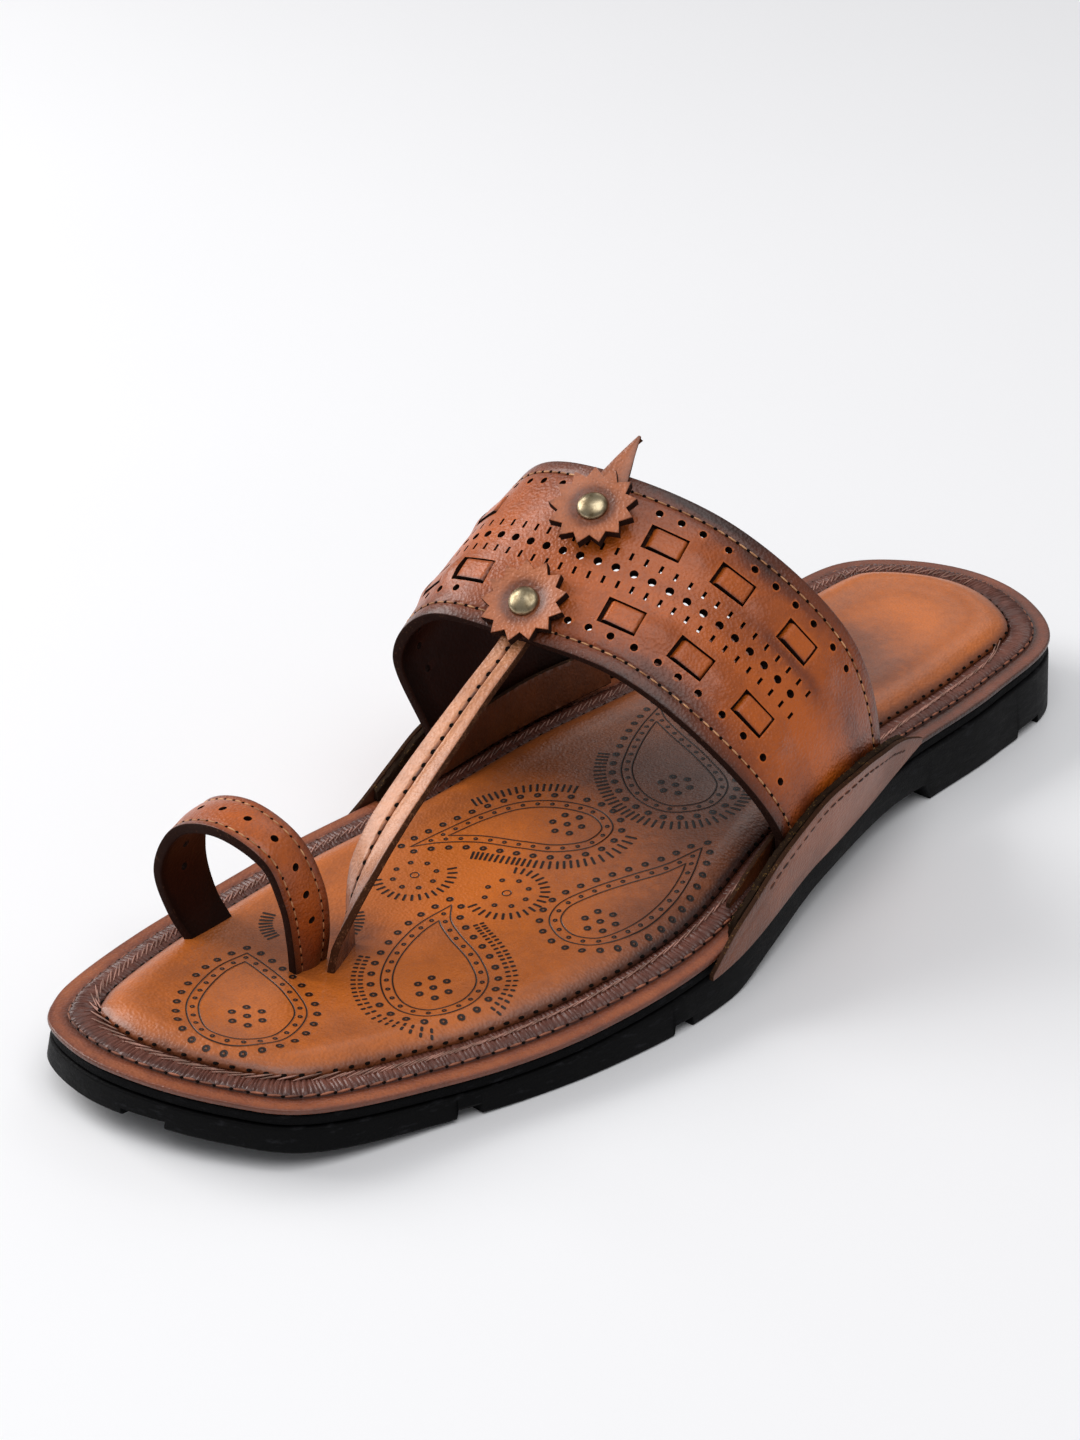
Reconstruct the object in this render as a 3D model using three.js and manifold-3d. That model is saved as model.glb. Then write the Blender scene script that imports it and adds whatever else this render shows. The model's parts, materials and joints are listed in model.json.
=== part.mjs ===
// Left kolhapuri sandal in millimetres: +X is the outer side of the foot, +Y the heel, +Z up.
import * as THREE from 'three';
import { mergeVertices } from 'three/addons/utils/BufferGeometryUtils.js';
import Module from 'manifold-3d';

const wasm = await Module();
wasm.setup();

// Sole
const LENGTH = 290;
const BALL_WIDTH = 101;
const HEEL_WIDTH = 74;
const HEEL_STACK = 16.6;
const FOREFOOT_OUTSOLE = 5.3;
const TOE_SPRING = 6;
const ARCH_LIFT = 7;
const SOLE_FLARE = 0.9;
const MIDSOLE_THICKNESS = 2.6;
const MIDSOLE_INSET = 0.5;
const RIM_THICKNESS = 1.3;
const RIM_WIDTH = 4.3;
const BORDER_WIDTH = 6;
const BORDER_RISE = 0.9;
const PAD_RISE = 3.8;
const PAD_EDGE = 1;
const PAD_ROUNDING = 9;
const CHANNEL_WIDTH = 5.4;
const CHANNEL_DEPTH = 2.2;
const BREAST_RUN = 3;
const TOE_NOTCH_WIDTH = 10;
const TOE_NOTCH_REACH = 14;

// Upper
const INSTEP_HEIGHT = 77;
const INSTEP_WIDTH = 98;
const BAND_THICKNESS = 2.6;
const BAND_CROWN = 1.2;
const STRAP_WIDTH = 9;
const STRAP_THICKNESS = 3;
const LOOP_HEIGHT = 40;
const LOOP_THICKNESS = 2.4;
const FLAP_HEIGHT = 20.5;
const FLAP_STAND_OFF = 1.5;
const OUTER_PLY = 1.1;
const CORE_PLY = 1.5;
const LINING_PLY = 1;
const TAIL_BASE = 2.2;

// Holes, woven windows and fittings
const HOLE_DIAMETER = 2;
const HOLE_PITCH = 4.35;
const LOOP_HOLE_DIAMETER = 1.8;
const LOOP_HOLE_PITCH = 7.3;
const LOOP_HOLES = 10;
const LOOP_HOLE_START = 19.5;
const WINDOW_LENGTH = 8.2;
const WINDOW_WIDTH = 5.5;
const WINDOW_RISE = 0.9;
const ROSETTE_DIAMETER = 20;
const ROSETTE_TEETH = 13;
const TOOTH_DEPTH = 2.3;
const ROSETTE_THICKNESS = 2;
const RIVET_HEAD = 7;
const RIVET_RISE = 1.6;
const RIVET_SHANK = 2.6;
const RIVET_CAP = 1;
const CAP_CLEARANCE = 0.8;
const POINT_LENGTH = 22;
const POINT_WIDTH = 9;
const POINT_THICKNESS = 1.6;
const POINT_TURN = -1;

const GAP = 0.3;
const JOIN = 0.5;
const CORE_SET_BACK = 8.7;
const LINING_SET_BACK = 14.5;
const LINING_DROP = 3;
const CHANNEL_WALL_RUN = 0.15;

// Half widths of the footbed from its centre line, as shares of the width that each row follows
const OUTLINE = [
  { along: 0.015, width: HEEL_WIDTH, medial: 0.235, lateral: 0.244 },
  { along: 0.06, width: HEEL_WIDTH, medial: 0.443, lateral: 0.442 },
  { along: 0.16, width: HEEL_WIDTH, medial: 0.495, lateral: 0.497 },
  { along: 0.3, width: HEEL_WIDTH, medial: 0.511, lateral: 0.509 },
  { along: 0.45, width: BALL_WIDTH, medial: 0.402, lateral: 0.458 },
  { along: 0.6, width: BALL_WIDTH, medial: 0.445, lateral: 0.54 },
  { along: 0.72, width: BALL_WIDTH, medial: 0.493, lateral: 0.503 },
  { along: 0.84, width: BALL_WIDTH, medial: 0.478, lateral: 0.395 },
  { along: 0.94, width: BALL_WIDTH, medial: 0.399, lateral: 0.279 },
  { along: 0.97, width: BALL_WIDTH, medial: 0.356, lateral: 0.164 },
];
const HEEL_END = { along: 0, across: 0.013 };
const TOE_CORNERS = [
  { along: 0.993, across: -0.294 },
  { along: 1.003, across: -0.15 },
  { along: 0.993, across: 0.012 },
];

// Height of the outsole's top, as shares of the heel stack, the forefoot outsole and the toe spring
const TOP_LINE = [
  { along: 0, heel: 1, fore: 0, spring: 0 },
  { along: 0.12, heel: 0.89, fore: 0, spring: 0 },
  { along: 0.26, heel: 0.81, fore: 0, spring: 0 },
  { along: 0.45, heel: 0.81, fore: 0, spring: 0 },
  { along: 0.62, heel: 0.27, fore: 0.8, spring: 0 },
  { along: 0.8, heel: 0, fore: 1, spring: 0.02 },
  { along: 1, heel: 0, fore: 1.05, spring: 1 },
];

// Height of the underside, as shares of the arch lift and the toe spring
const HEEL_EDGE = 0.02;
const BREAST = 0.255;
const UNDERSIDE = [
  { along: 0, arch: 0.1, spring: 0 },
  { along: HEEL_EDGE, arch: 0, spring: 0 },
  { along: BREAST, arch: 0, spring: 0 },
  { along: BREAST + BREAST_RUN / LENGTH, arch: 0.7, spring: 0 },
  { along: 0.43, arch: 1, spring: 0 },
  { along: 0.534, arch: 0.5, spring: 0 },
  { along: 0.59, arch: 0, spring: 0 },
  { along: 0.78, arch: 0, spring: 0 },
  { along: 0.84, arch: 0, spring: 0.13 },
  { along: 0.9, arch: 0, spring: 0.38 },
  { along: 1, arch: 0, spring: 1 },
];
const CHANNELS = [
  { along: 0.105, wide: 1.9 },
  { along: 0.645, wide: 1 },
  { along: 0.8245, wide: 1 },
];
const TOE_NOTCH = { across: 0, along: 0.985 };

// Front and rear edges of the band: across as shares of the instep width, along as shares of the
// length, up as shares of the instep height over the rim
const BAND_FRONT_EDGE = [
  { across: -0.459, along: 0.5952, up: 0.455 },
  { across: -0.318, along: 0.6028, up: 0.667 },
  { across: -0.086, along: 0.5893, up: 0.674 },
  { across: 0.186, along: 0.5683, up: 0.619 },
  { across: 0.437, along: 0.5383, up: 0.373 },
];
const BAND_REAR_EDGE = [
  { across: -0.503, along: 0.4469, up: 0.605 },
  { across: -0.374, along: 0.4593, up: 0.878 },
  { across: -0.134, along: 0.4641, up: 0.963 },
  { across: 0.157, along: 0.4248, up: 0.842 },
  { across: 0.397, along: 0.3817, up: 0.526 },
];

// Where the band's two edges lie on the flaps, as shares of the length: at share 0 of the way from
// the sole to the flap's high edge, and at share 1
const BAND_ENDS = {
  medial: [
    { front: 0.565, rear: 0.407, share: 0 },
    { front: 0.5752, rear: 0.4183, share: 1 },
  ],
  lateral: [
    { front: 0.5141, rear: 0.3621, share: 1 },
    { front: 0.505, rear: 0.352, share: 0 },
  ],
};

// Flaps: low and high edges as shares of the flap height over the outsole's top, lean as a share of it
const LATERAL_FLAP = [
  { along: 0.279, low: 0.25, high: 0.33, lean: 0.05 },
  { along: 0.328, low: 0.12, high: 0.66, lean: 0.22 },
  { along: 0.372, low: 0.02, high: 0.9, lean: 0.3 },
  { along: 0.417, low: 0, high: 1, lean: 0.27 },
  { along: 0.459, low: 0, high: 0.956, lean: 0.2 },
  { along: 0.497, low: 0, high: 0.85, lean: 0.14 },
  { along: 0.531, low: 0, high: 0.73, lean: 0.08 },
  { along: 0.56, low: 0, high: 0.56, lean: 0.03 },
  { along: 0.592, low: 0, high: 0.36, lean: 0 },
  { along: 0.617, low: 0, high: 0.07, lean: 0 },
];
const MEDIAL_FLAP = [
  { along: 0.293, low: 0.25, high: 0.33, lean: 0.02 },
  { along: 0.33, low: 0.12, high: 0.6, lean: 0.1 },
  { along: 0.37, low: 0.02, high: 0.84, lean: 0.15 },
  { along: 0.418, low: 0, high: 0.98, lean: 0.12 },
  { along: 0.48, low: 0, high: 1.02, lean: 0.05 },
  { along: 0.53, low: 0, high: 1, lean: 0 },
  { along: 0.57, low: 0, high: 0.86, lean: -0.06 },
  { along: 0.6, low: 0, high: 0.56, lean: -0.03 },
  { along: 0.625, low: 0, high: 0.28, lean: 0 },
  { along: 0.648, low: 0, high: 0.07, lean: 0 },
];

// Centre line of the strap below the band: across as shares of the ball width, along as shares of the
// length, up as shares of the instep height over the rim, turn in degrees about its own run
const STRAP = [
  { across: -0.089, along: 0.6297, up: 0.569, turn: 0 },
  { across: -0.085, along: 0.6628, up: 0.482, turn: 2 },
  { across: -0.08, along: 0.7028, up: 0.42, turn: 6 },
  { across: -0.07, along: 0.7352, up: 0.355, turn: 12 },
  { across: -0.058, along: 0.7621, up: 0.28, turn: 24 },
  { across: -0.048, along: 0.782, up: 0.185, turn: 44 },
  { across: -0.046, along: 0.792, up: 0.1, turn: 62 },
  { across: -0.045, along: 0.796, up: 0.012, turn: 70 },
];

// Front and rear edges of the toe loop: across as shares of the ball width, along as shares of the
// length, up as shares of the loop height over the rim
const LOOP_FRONT_EDGE = [
  { across: -0.325, along: 0.853, up: 0.022 },
  { across: -0.366, along: 0.86, up: 0.22 },
  { across: -0.382, along: 0.8655, up: 0.5 },
  { across: -0.307, along: 0.8655, up: 0.83 },
  { across: -0.158, along: 0.8655, up: 0.98 },
  { across: -0.044, along: 0.8586, up: 0.878 },
  { across: -0.026, along: 0.848, up: 0.595 },
  { across: -0.043, along: 0.838, up: 0.3 },
  { across: -0.065, along: 0.83, up: 0.022 },
];
const LOOP_REAR_EDGE = [
  { across: -0.335, along: 0.8095, up: 0.022 },
  { across: -0.377, along: 0.8145, up: 0.22 },
  { across: -0.396, along: 0.8172, up: 0.5 },
  { across: -0.347, along: 0.8207, up: 0.841 },
  { across: -0.198, along: 0.8207, up: 0.996 },
  { across: -0.063, along: 0.819, up: 0.916 },
  { across: -0.028, along: 0.809, up: 0.63 },
  { across: -0.041, along: 0.8015, up: 0.3 },
  { across: -0.067, along: 0.8, up: 0.022 },
];

// Places on the band: run from its medial to its lateral end, and from its front to its rear edge
const RIVETS = {
  front: { run: 0.497, across: 0.17 },
  rear: { run: 0.516, across: 0.73 },
};
const HOLE_ROW = { across: 0.5, start: 0.26, end: 0.74 };
const WINDOW_ROWS = [
  { across: 0.28, runs: [0.26, 0.335, 0.41, 0.59, 0.66, 0.725] },
  { across: 0.725, runs: [0.285, 0.352, 0.585, 0.65, 0.715] },
];

// The strap's lap under the band, as shares of the way from its front to its rear edge
const STRAP_LAP = { rear: 0.3, front: 0.02 };

// Half outline of the strap's point: side as shares of its half width, along as shares of its length
const POINT_SIDE = [
  { side: 0.75, along: -0.225 },
  { side: 1, along: 0.2 },
  { side: 0.62, along: 0.55 },
];
const DOME_SHARES = [1, 0.86, 0.6, 0.3];
const CAP_SHARE = 0.8;

// Fineness of the surfaces
const SOLE_ROWS = 30;
const OUTLINE_SAMPLES = 30;
const BORDER_STEP = 5;
const BAND_STEPS = 48;
const BAND_COLUMNS = 6;
const FLAP_STEPS = 16;
const STEPS_PER_ROW = 3;
const HOLE_SIDES = 6;
const SHANK_SIDES = 12;
const RIVET_SIDES = 14;
const PITCH_SAMPLES = 200;
const SLOPE_REACH = 0.01;
const FRAME_REACH = 0.004;
const PUNCH_REACH = 3;
const WELD = 1e-4;
const FINE_WELD = 1e-5;

// A curve through one column of a table that never overshoots its rows
function column(rows, name) {
  const last = rows.length - 1;
  const step = (i) => (rows[i + 1][name] - rows[i][name]) / (rows[i + 1].along - rows[i].along);
  const slopes = Array.from(rows, (_, i) => {
    if (i === 0) return step(0);
    if (i === last) return step(last - 1);
    const before = step(i - 1);
    const after = step(i);
    return before * after <= 0 ? 0 : (2 * before * after) / (before + after);
  });
  return (along) => {
    const at = THREE.MathUtils.clamp(along, rows[0].along, rows[last].along);
    const i = Math.min(last - 1, rows.findLastIndex((row) => row.along <= at));
    const run = rows[i + 1].along - rows[i].along;
    const t = (at - rows[i].along) / run;
    const start = (2 * t ** 3 - 3 * t ** 2 + 1) * rows[i][name];
    const end = (3 * t ** 2 - 2 * t ** 3) * rows[i + 1][name];
    const bend = (t ** 3 - 2 * t ** 2 + t) * slopes[i] + (t ** 3 - t ** 2) * slopes[i + 1];
    return start + end + bend * run;
  };
}

const heelShare = column(TOP_LINE, 'heel');
const foreShare = column(TOP_LINE, 'fore');
const topSpring = column(TOP_LINE, 'spring');
const archShare = column(UNDERSIDE, 'arch');
const underSpring = column(UNDERSIDE, 'spring');

const yAt = (along) => LENGTH / 2 - along * LENGTH;
const alongAt = (y) => 0.5 - y / LENGTH;

function outsoleTop(along) {
  const forefoot = foreShare(along) * FOREFOOT_OUTSOLE;
  return heelShare(along) * HEEL_STACK + forefoot + topSpring(along) * TOE_SPRING;
}

function rimTop(along) {
  return outsoleTop(along) + MIDSOLE_THICKNESS + RIM_THICKNESS + 2 * GAP;
}

function underside(along) {
  const channel = CHANNELS.some((row) => {
    return Math.abs(along - row.along) * LENGTH < (row.wide * CHANNEL_WIDTH) / 2;
  });
  const lift = archShare(along) * ARCH_LIFT + underSpring(along) * TOE_SPRING;
  return lift + (channel ? CHANNEL_DEPTH : 0);
}

// The footbed's closed outline, moved outwards by a distance
function outline(outward) {
  const heel = new THREE.Vector3(HEEL_END.across * HEEL_WIDTH, yAt(HEEL_END.along), 0);
  const medial = OUTLINE.map((row) => new THREE.Vector3(-row.medial * row.width, yAt(row.along), 0));
  const toe = TOE_CORNERS.map((row) => new THREE.Vector3(row.across * BALL_WIDTH, yAt(row.along), 0));
  const lateral = OUTLINE.map((row) => new THREE.Vector3(row.lateral * row.width, yAt(row.along), 0));
  const points = [heel, ...medial, ...toe, ...lateral.reverse()];
  const curve = new THREE.CatmullRomCurve3(points, true, 'centripetal');
  const samples = curve.getPoints(points.length * OUTLINE_SAMPLES).slice(0, -1);
  return samples.map((point, i) => {
    const before = samples[(i + samples.length - 1) % samples.length];
    const after = samples[(i + 1) % samples.length];
    const run = after.clone().sub(before).normalize();
    return new THREE.Vector2(point.x + run.y * outward, point.y - run.x * outward);
  });
}

// Medial and lateral limits of an outline at one y
function limits(edge, y) {
  const crossings = [];
  edge.forEach((a, i) => {
    const b = edge[(i + 1) % edge.length];
    if ((a.y - y) * (b.y - y) <= 0 && a.y !== b.y) {
      crossings.push(a.x + ((b.x - a.x) * (y - a.y)) / (b.y - a.y));
    }
  });
  return [Math.min(...crossings), Math.max(...crossings)];
}

// Distance from a point to an outline
function inset(edge, x, y) {
  const point = new THREE.Vector2(x, y);
  return Math.min(...edge.map((vertex) => vertex.distanceTo(point)));
}

// A closed solid from triangles, with its faces turned outwards
function solid(positions, indices) {
  const geometry = new THREE.BufferGeometry();
  geometry.setAttribute('position', new THREE.Float32BufferAttribute(positions, 3));
  geometry.setIndex(indices);
  return solidOf(geometry);
}

function solidOf(geometry) {
  const bare = geometry.clone();
  bare.deleteAttribute('normal');
  bare.deleteAttribute('uv');
  const merged = mergeVertices(bare, WELD);
  const vertProperties = Float32Array.from(merged.attributes.position.array);
  const triVerts = Uint32Array.from(merged.index.array);
  if (signedVolume(vertProperties, triVerts) < 0) triVerts.reverse();
  return new wasm.Manifold(new wasm.Mesh({ numProp: 3, vertProperties, triVerts }));
}

function signedVolume(positions, triangles) {
  const corner = (i) => new THREE.Vector3().fromArray(positions, triangles[i] * 3);
  let volume = 0;
  for (let i = 0; i < triangles.length; i += 3) {
    volume += corner(i).dot(corner(i + 1).cross(corner(i + 2))) / 6;
  }
  return volume;
}

// A closed shell between two grids of points of the same size
function shell(upper, lower) {
  const rows = upper.length;
  const columns = upper[0].length;
  const positions = [...upper.flat(), ...lower.flat()].flatMap((point) => point.toArray());
  const at = (side, i, j) => (side * rows + i) * columns + j;
  const indices = [];
  const quad = (a, b, c, d) => indices.push(a, b, c, a, c, d);
  for (let i = 0; i < rows - 1; i++) {
    for (let j = 0; j < columns - 1; j++) {
      quad(at(0, i, j), at(0, i + 1, j), at(0, i + 1, j + 1), at(0, i, j + 1));
      quad(at(1, i, j), at(1, i, j + 1), at(1, i + 1, j + 1), at(1, i + 1, j));
    }
    quad(at(0, i, 0), at(1, i, 0), at(1, i + 1, 0), at(0, i + 1, 0));
    const last = columns - 1;
    quad(at(0, i, last), at(0, i + 1, last), at(1, i + 1, last), at(1, i, last));
  }
  for (let j = 0; j < columns - 1; j++) {
    quad(at(0, 0, j), at(0, 0, j + 1), at(1, 0, j + 1), at(1, 0, j));
    quad(at(0, rows - 1, j), at(1, rows - 1, j), at(1, rows - 1, j + 1), at(0, rows - 1, j + 1));
  }
  return solid(positions, indices);
}

// Normals of a grid of points, from its neighbours
function normals(grid) {
  return grid.map((row, i) => row.map((point, j) => {
    const ahead = grid[Math.min(i + 1, grid.length - 1)][j];
    const behind = grid[Math.max(i - 1, 0)][j];
    const right = row[Math.min(j + 1, row.length - 1)];
    const left = row[Math.max(j - 1, 0)];
    return ahead.clone().sub(behind).cross(right.clone().sub(left)).normalize();
  }));
}

// A wall of even thickness under an outer surface, grown on all sides by a clearance
function wall(outer, thickness, clearance = 0) {
  const out = normals(outer);
  const shifted = (depth) => outer.map((row, i) => row.map((point, j) => {
    return point.clone().addScaledVector(out[i][j], -depth);
  }));
  return shell(widened(shifted(-clearance), clearance), widened(shifted(thickness + clearance), clearance));
}

// A grid with its outermost rows and columns moved outwards
function widened(grid, distance) {
  const grown = grid.map((row) => row.map((point) => point.clone()));
  const push = (point, inner) => point.add(point.clone().sub(inner).setLength(distance));
  if (distance === 0) return grown;
  grown.forEach((row, i) => {
    push(row[0], grid[i][1]);
    push(row[row.length - 1], grid[i][row.length - 2]);
  });
  grown[0].forEach((point, j) => push(point, grid[1][j]));
  grown[grown.length - 1].forEach((point, j) => push(point, grid[grid.length - 2][j]));
  return grown;
}

// Where an outline starts at the heel and ends at the toe, as shares of the length
function reach(edge) {
  const places = edge.map((point) => alongAt(point.y));
  return [Math.min(...places), Math.max(...places)];
}

// Rows of a sole layer, closer together at heel and toe, with one at each given step
function stations([start, end], steps) {
  const even = Array.from({ length: SOLE_ROWS }, (_, i) => {
    const share = (1 - Math.cos((Math.PI * (i + 0.5)) / SOLE_ROWS)) / 2;
    return THREE.MathUtils.lerp(start, end, share);
  });
  const clear = even.filter((along) => steps.every((step) => Math.abs(step - along) > 1 / LENGTH));
  return [...clear, ...steps].sort((a, b) => a - b);
}

// A sole layer: low and high give heights at a place, the shares place its columns across
function layer(lowEdge, highEdge, low, high, shares, steps = []) {
  const [start, end] = reach(lowEdge);
  const places = stations([start, end], steps);
  const grid = (edge, height) => places.map((place) => {
    const along = THREE.MathUtils.mapLinear(place, start, end, ...reach(edge));
    const y = yAt(along);
    const [medial, lateral] = limits(edge, y);
    return shares.map((share) => {
      const x = THREE.MathUtils.lerp(medial, lateral, share);
      return new THREE.Vector3(x, y, height(along, x, y));
    });
  });
  return shell(grid(highEdge, high), grid(lowEdge, low));
}

// Two points of a channel's step, just inside and just outside its wall
function channelSteps() {
  const wallRun = CHANNEL_WALL_RUN / LENGTH;
  return CHANNELS.flatMap((row) => {
    const half = (row.wide * CHANNEL_WIDTH) / 2 / LENGTH;
    return [-half, half].flatMap((edge) => [row.along + edge - wallRun, row.along + edge + wallRun]);
  });
}

function outsole() {
  const steps = [HEEL_EDGE, BREAST, BREAST + BREAST_RUN / LENGTH, ...channelSteps()];
  const body = layer(outline(SOLE_FLARE), outline(0), underside, outsoleTop, [0, 1], steps);
  const height = 2 * (underside(TOE_NOTCH.along) + CHANNEL_DEPTH);
  const notch = new THREE.BoxGeometry(TOE_NOTCH_WIDTH, TOE_NOTCH_REACH, height);
  notch.translate(TOE_NOTCH.across * BALL_WIDTH, yAt(TOE_NOTCH.along), 0);
  return body.subtract(solidOf(notch));
}

function midsole() {
  const edge = outline(-MIDSOLE_INSET);
  const low = (along) => outsoleTop(along) + GAP;
  return layer(edge, edge, low, (along) => low(along) + MIDSOLE_THICKNESS, [0, 1]);
}

function rim() {
  const edge = outline(0);
  return layer(edge, edge, (along) => rimTop(along) - RIM_THICKNESS, rimTop, [0, 1]);
}

// The crimped strip lies in a ring on the rim
function pleatedBorder() {
  const outer = outline(-RIM_WIDTH).filter((_, i) => i % BORDER_STEP === 0);
  const inner = outline(-RIM_WIDTH - BORDER_WIDTH).filter((_, i) => i % BORDER_STEP === 0);
  const top = GAP + BORDER_RISE;
  const ring = (edge, rise) => edge.map((point) => {
    return new THREE.Vector3(point.x, point.y, rimTop(alongAt(point.y)) + rise);
  });
  const corners = [ring(outer, GAP), ring(outer, top), ring(inner, top), ring(inner, GAP)];
  const count = outer.length;
  const indices = [];
  corners.forEach((_, side) => {
    const next = (side + 1) % corners.length;
    for (let i = 0; i < count; i++) {
      const j = (i + 1) % count;
      const quad = [side * count + i, next * count + i, next * count + j, side * count + j];
      indices.push(quad[0], quad[1], quad[2], quad[0], quad[2], quad[3]);
    }
  });
  return solid(corners.flat().flatMap((point) => point.toArray()), indices);
}

// Height of the pad's crowned top over the rim
function padRise(edge, x, y) {
  const depth = Math.min(1, inset(edge, x, y) / PAD_ROUNDING);
  return PAD_EDGE + (PAD_RISE - PAD_EDGE) * Math.sqrt(1 - (1 - depth) ** 2);
}

const PAD_EDGE_INSET = RIM_WIDTH + BORDER_WIDTH + GAP;
const PAD_SHARES = [0, 0.03, 0.08, 0.16, 0.5, 0.84, 0.92, 0.97, 1];

function insolePad() {
  const edge = outline(-PAD_EDGE_INSET);
  const top = (along, x, y) => rimTop(along) + padRise(edge, x, y);
  return layer(edge, edge, (along) => rimTop(along) + GAP, top, PAD_SHARES);
}

const FOOTBED = outline(0);

// Height on a flap: share 0 is its low edge and 1 its high edge
function flapHeight(rows, along, share) {
  const low = column(rows, 'low')(along);
  const high = column(rows, 'high')(along);
  return outsoleTop(along) + GAP + THREE.MathUtils.lerp(low, high, share) * FLAP_HEIGHT;
}

// A point of a flap at a height, its depth measured inwards in X from the outer face
function flapPoint(side, rows, along, height, depth) {
  const y = yAt(along);
  const edge = limits(FOOTBED, y)[side > 0 ? 1 : 0];
  const rise = (height - outsoleTop(along)) / FLAP_HEIGHT;
  const lean = column(rows, 'lean')(along) * FLAP_HEIGHT * rise;
  return new THREE.Vector3(edge + side * (FLAP_STAND_OFF + lean - depth), y, height);
}

// One ply of a flap, from its low edge, or from the footbed where it stands on the rim
function ply(side, rows, depth, thickness, start, end, onRim, lowered) {
  const levels = [0, 0.5, 1];
  const face = (inward) => Array.from({ length: FLAP_STEPS + 1 }, (_, i) => {
    const along = THREE.MathUtils.lerp(start, end, i / FLAP_STEPS);
    const low = onRim === null ? flapHeight(rows, along, 0) : rimTop(along) + onRim;
    const high = Math.max(low + GAP, flapHeight(rows, along, 1) - lowered);
    return levels.map((level) => {
      return flapPoint(side, rows, along, THREE.MathUtils.lerp(low, high, level), depth + inward);
    });
  });
  return shell(face(0), face(thickness));
}

const CORE_DEPTH = OUTER_PLY + GAP;
const BAND_DEPTH = CORE_DEPTH + CORE_PLY + 2 * GAP;
const LINING_DEPTH = BAND_DEPTH + BAND_THICKNESS + 2 * GAP;

// A row of a table as a point over the rim
function overRim(row, width, height) {
  return new THREE.Vector3(row.across * width, yAt(row.along), rimTop(row.along) + row.up * height);
}

function edgeCurve(points) {
  return new THREE.CatmullRomCurve3(points, false, 'centripetal');
}

// One edge of the band between its ends on the two flaps
function bandEdge(middle, name) {
  const tail = (side, rows, ends) => ends.map((end) => {
    const base = rimTop(end[name]) + TAIL_BASE;
    const height = THREE.MathUtils.lerp(base, flapHeight(rows, end[name], 1), end.share);
    return flapPoint(side, rows, end[name], height, BAND_DEPTH);
  });
  return edgeCurve([
    ...tail(-1, MEDIAL_FLAP, BAND_ENDS.medial),
    ...middle.map((row) => overRim(row, INSTEP_WIDTH, INSTEP_HEIGHT)),
    ...tail(1, LATERAL_FLAP, BAND_ENDS.lateral),
  ]);
}

const BAND_FRONT = bandEdge(BAND_FRONT_EDGE, 'front');
const BAND_REAR = bandEdge(BAND_REAR_EDGE, 'rear');

// A point on the band's outer face, slightly crowned between its edges
function bandPoint(run, across) {
  const front = BAND_FRONT.getPoint(run);
  const rear = BAND_REAR.getPoint(run);
  const point = front.clone().lerp(rear, across);
  const behind = BAND_FRONT.getPoint(Math.max(0, run - SLOPE_REACH));
  const ahead = BAND_FRONT.getPoint(Math.min(1, run + SLOPE_REACH)).sub(behind);
  const out = rear.sub(front).cross(ahead).normalize().negate();
  const free = Math.sin(Math.PI * run) ** 0.5;
  return point.addScaledVector(out, 4 * BAND_CROWN * free * across * (1 - across));
}

// Place and directions on the band: x along its run, y towards the rear, z out of its face
function bandFrame(run, across, depth = 0) {
  const near = FRAME_REACH;
  const place = bandPoint(run, across);
  const x = bandPoint(run + near, across).sub(bandPoint(run - near, across)).normalize();
  const slope = bandPoint(run, across + near).sub(bandPoint(run, across - near)).normalize();
  const z = x.clone().cross(slope).normalize();
  const y = z.clone().cross(x);
  return new THREE.Matrix4().makeBasis(x, y, z).setPosition(place.addScaledVector(z, -depth));
}

function bandGrid() {
  return Array.from({ length: BAND_STEPS + 1 }, (_, i) => {
    return Array.from({ length: BAND_COLUMNS + 1 }, (__, j) => bandPoint(i / BAND_STEPS, j / BAND_COLUMNS));
  });
}

// Runs at an even pitch along one row of the band
function evenRuns(across, start, end, pitch) {
  const runs = [];
  let travelled = pitch;
  for (let i = 1; i <= PITCH_SAMPLES; i++) {
    const before = THREE.MathUtils.lerp(start, end, (i - 1) / PITCH_SAMPLES);
    const run = THREE.MathUtils.lerp(start, end, i / PITCH_SAMPLES);
    travelled += bandPoint(run, across).distanceTo(bandPoint(before, across));
    if (travelled >= pitch) {
      travelled -= pitch;
      runs.push(run);
    }
  }
  return runs;
}

// A round tool through a wall at a frame
function punch(frame, diameter, depth, sides) {
  const tool = new THREE.CylinderGeometry(diameter / 2, diameter / 2, depth, sides);
  tool.rotateX(Math.PI / 2);
  return solidOf(tool.applyMatrix4(frame));
}

function windowBox(run, across) {
  const sunk = BAND_THICKNESS / 2;
  const box = new THREE.BoxGeometry(WINDOW_LENGTH, WINDOW_WIDTH, WINDOW_RISE + sunk);
  box.translate(0, 0, (WINDOW_RISE - sunk) / 2);
  return solidOf(box.applyMatrix4(bandFrame(run, across)));
}

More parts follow.
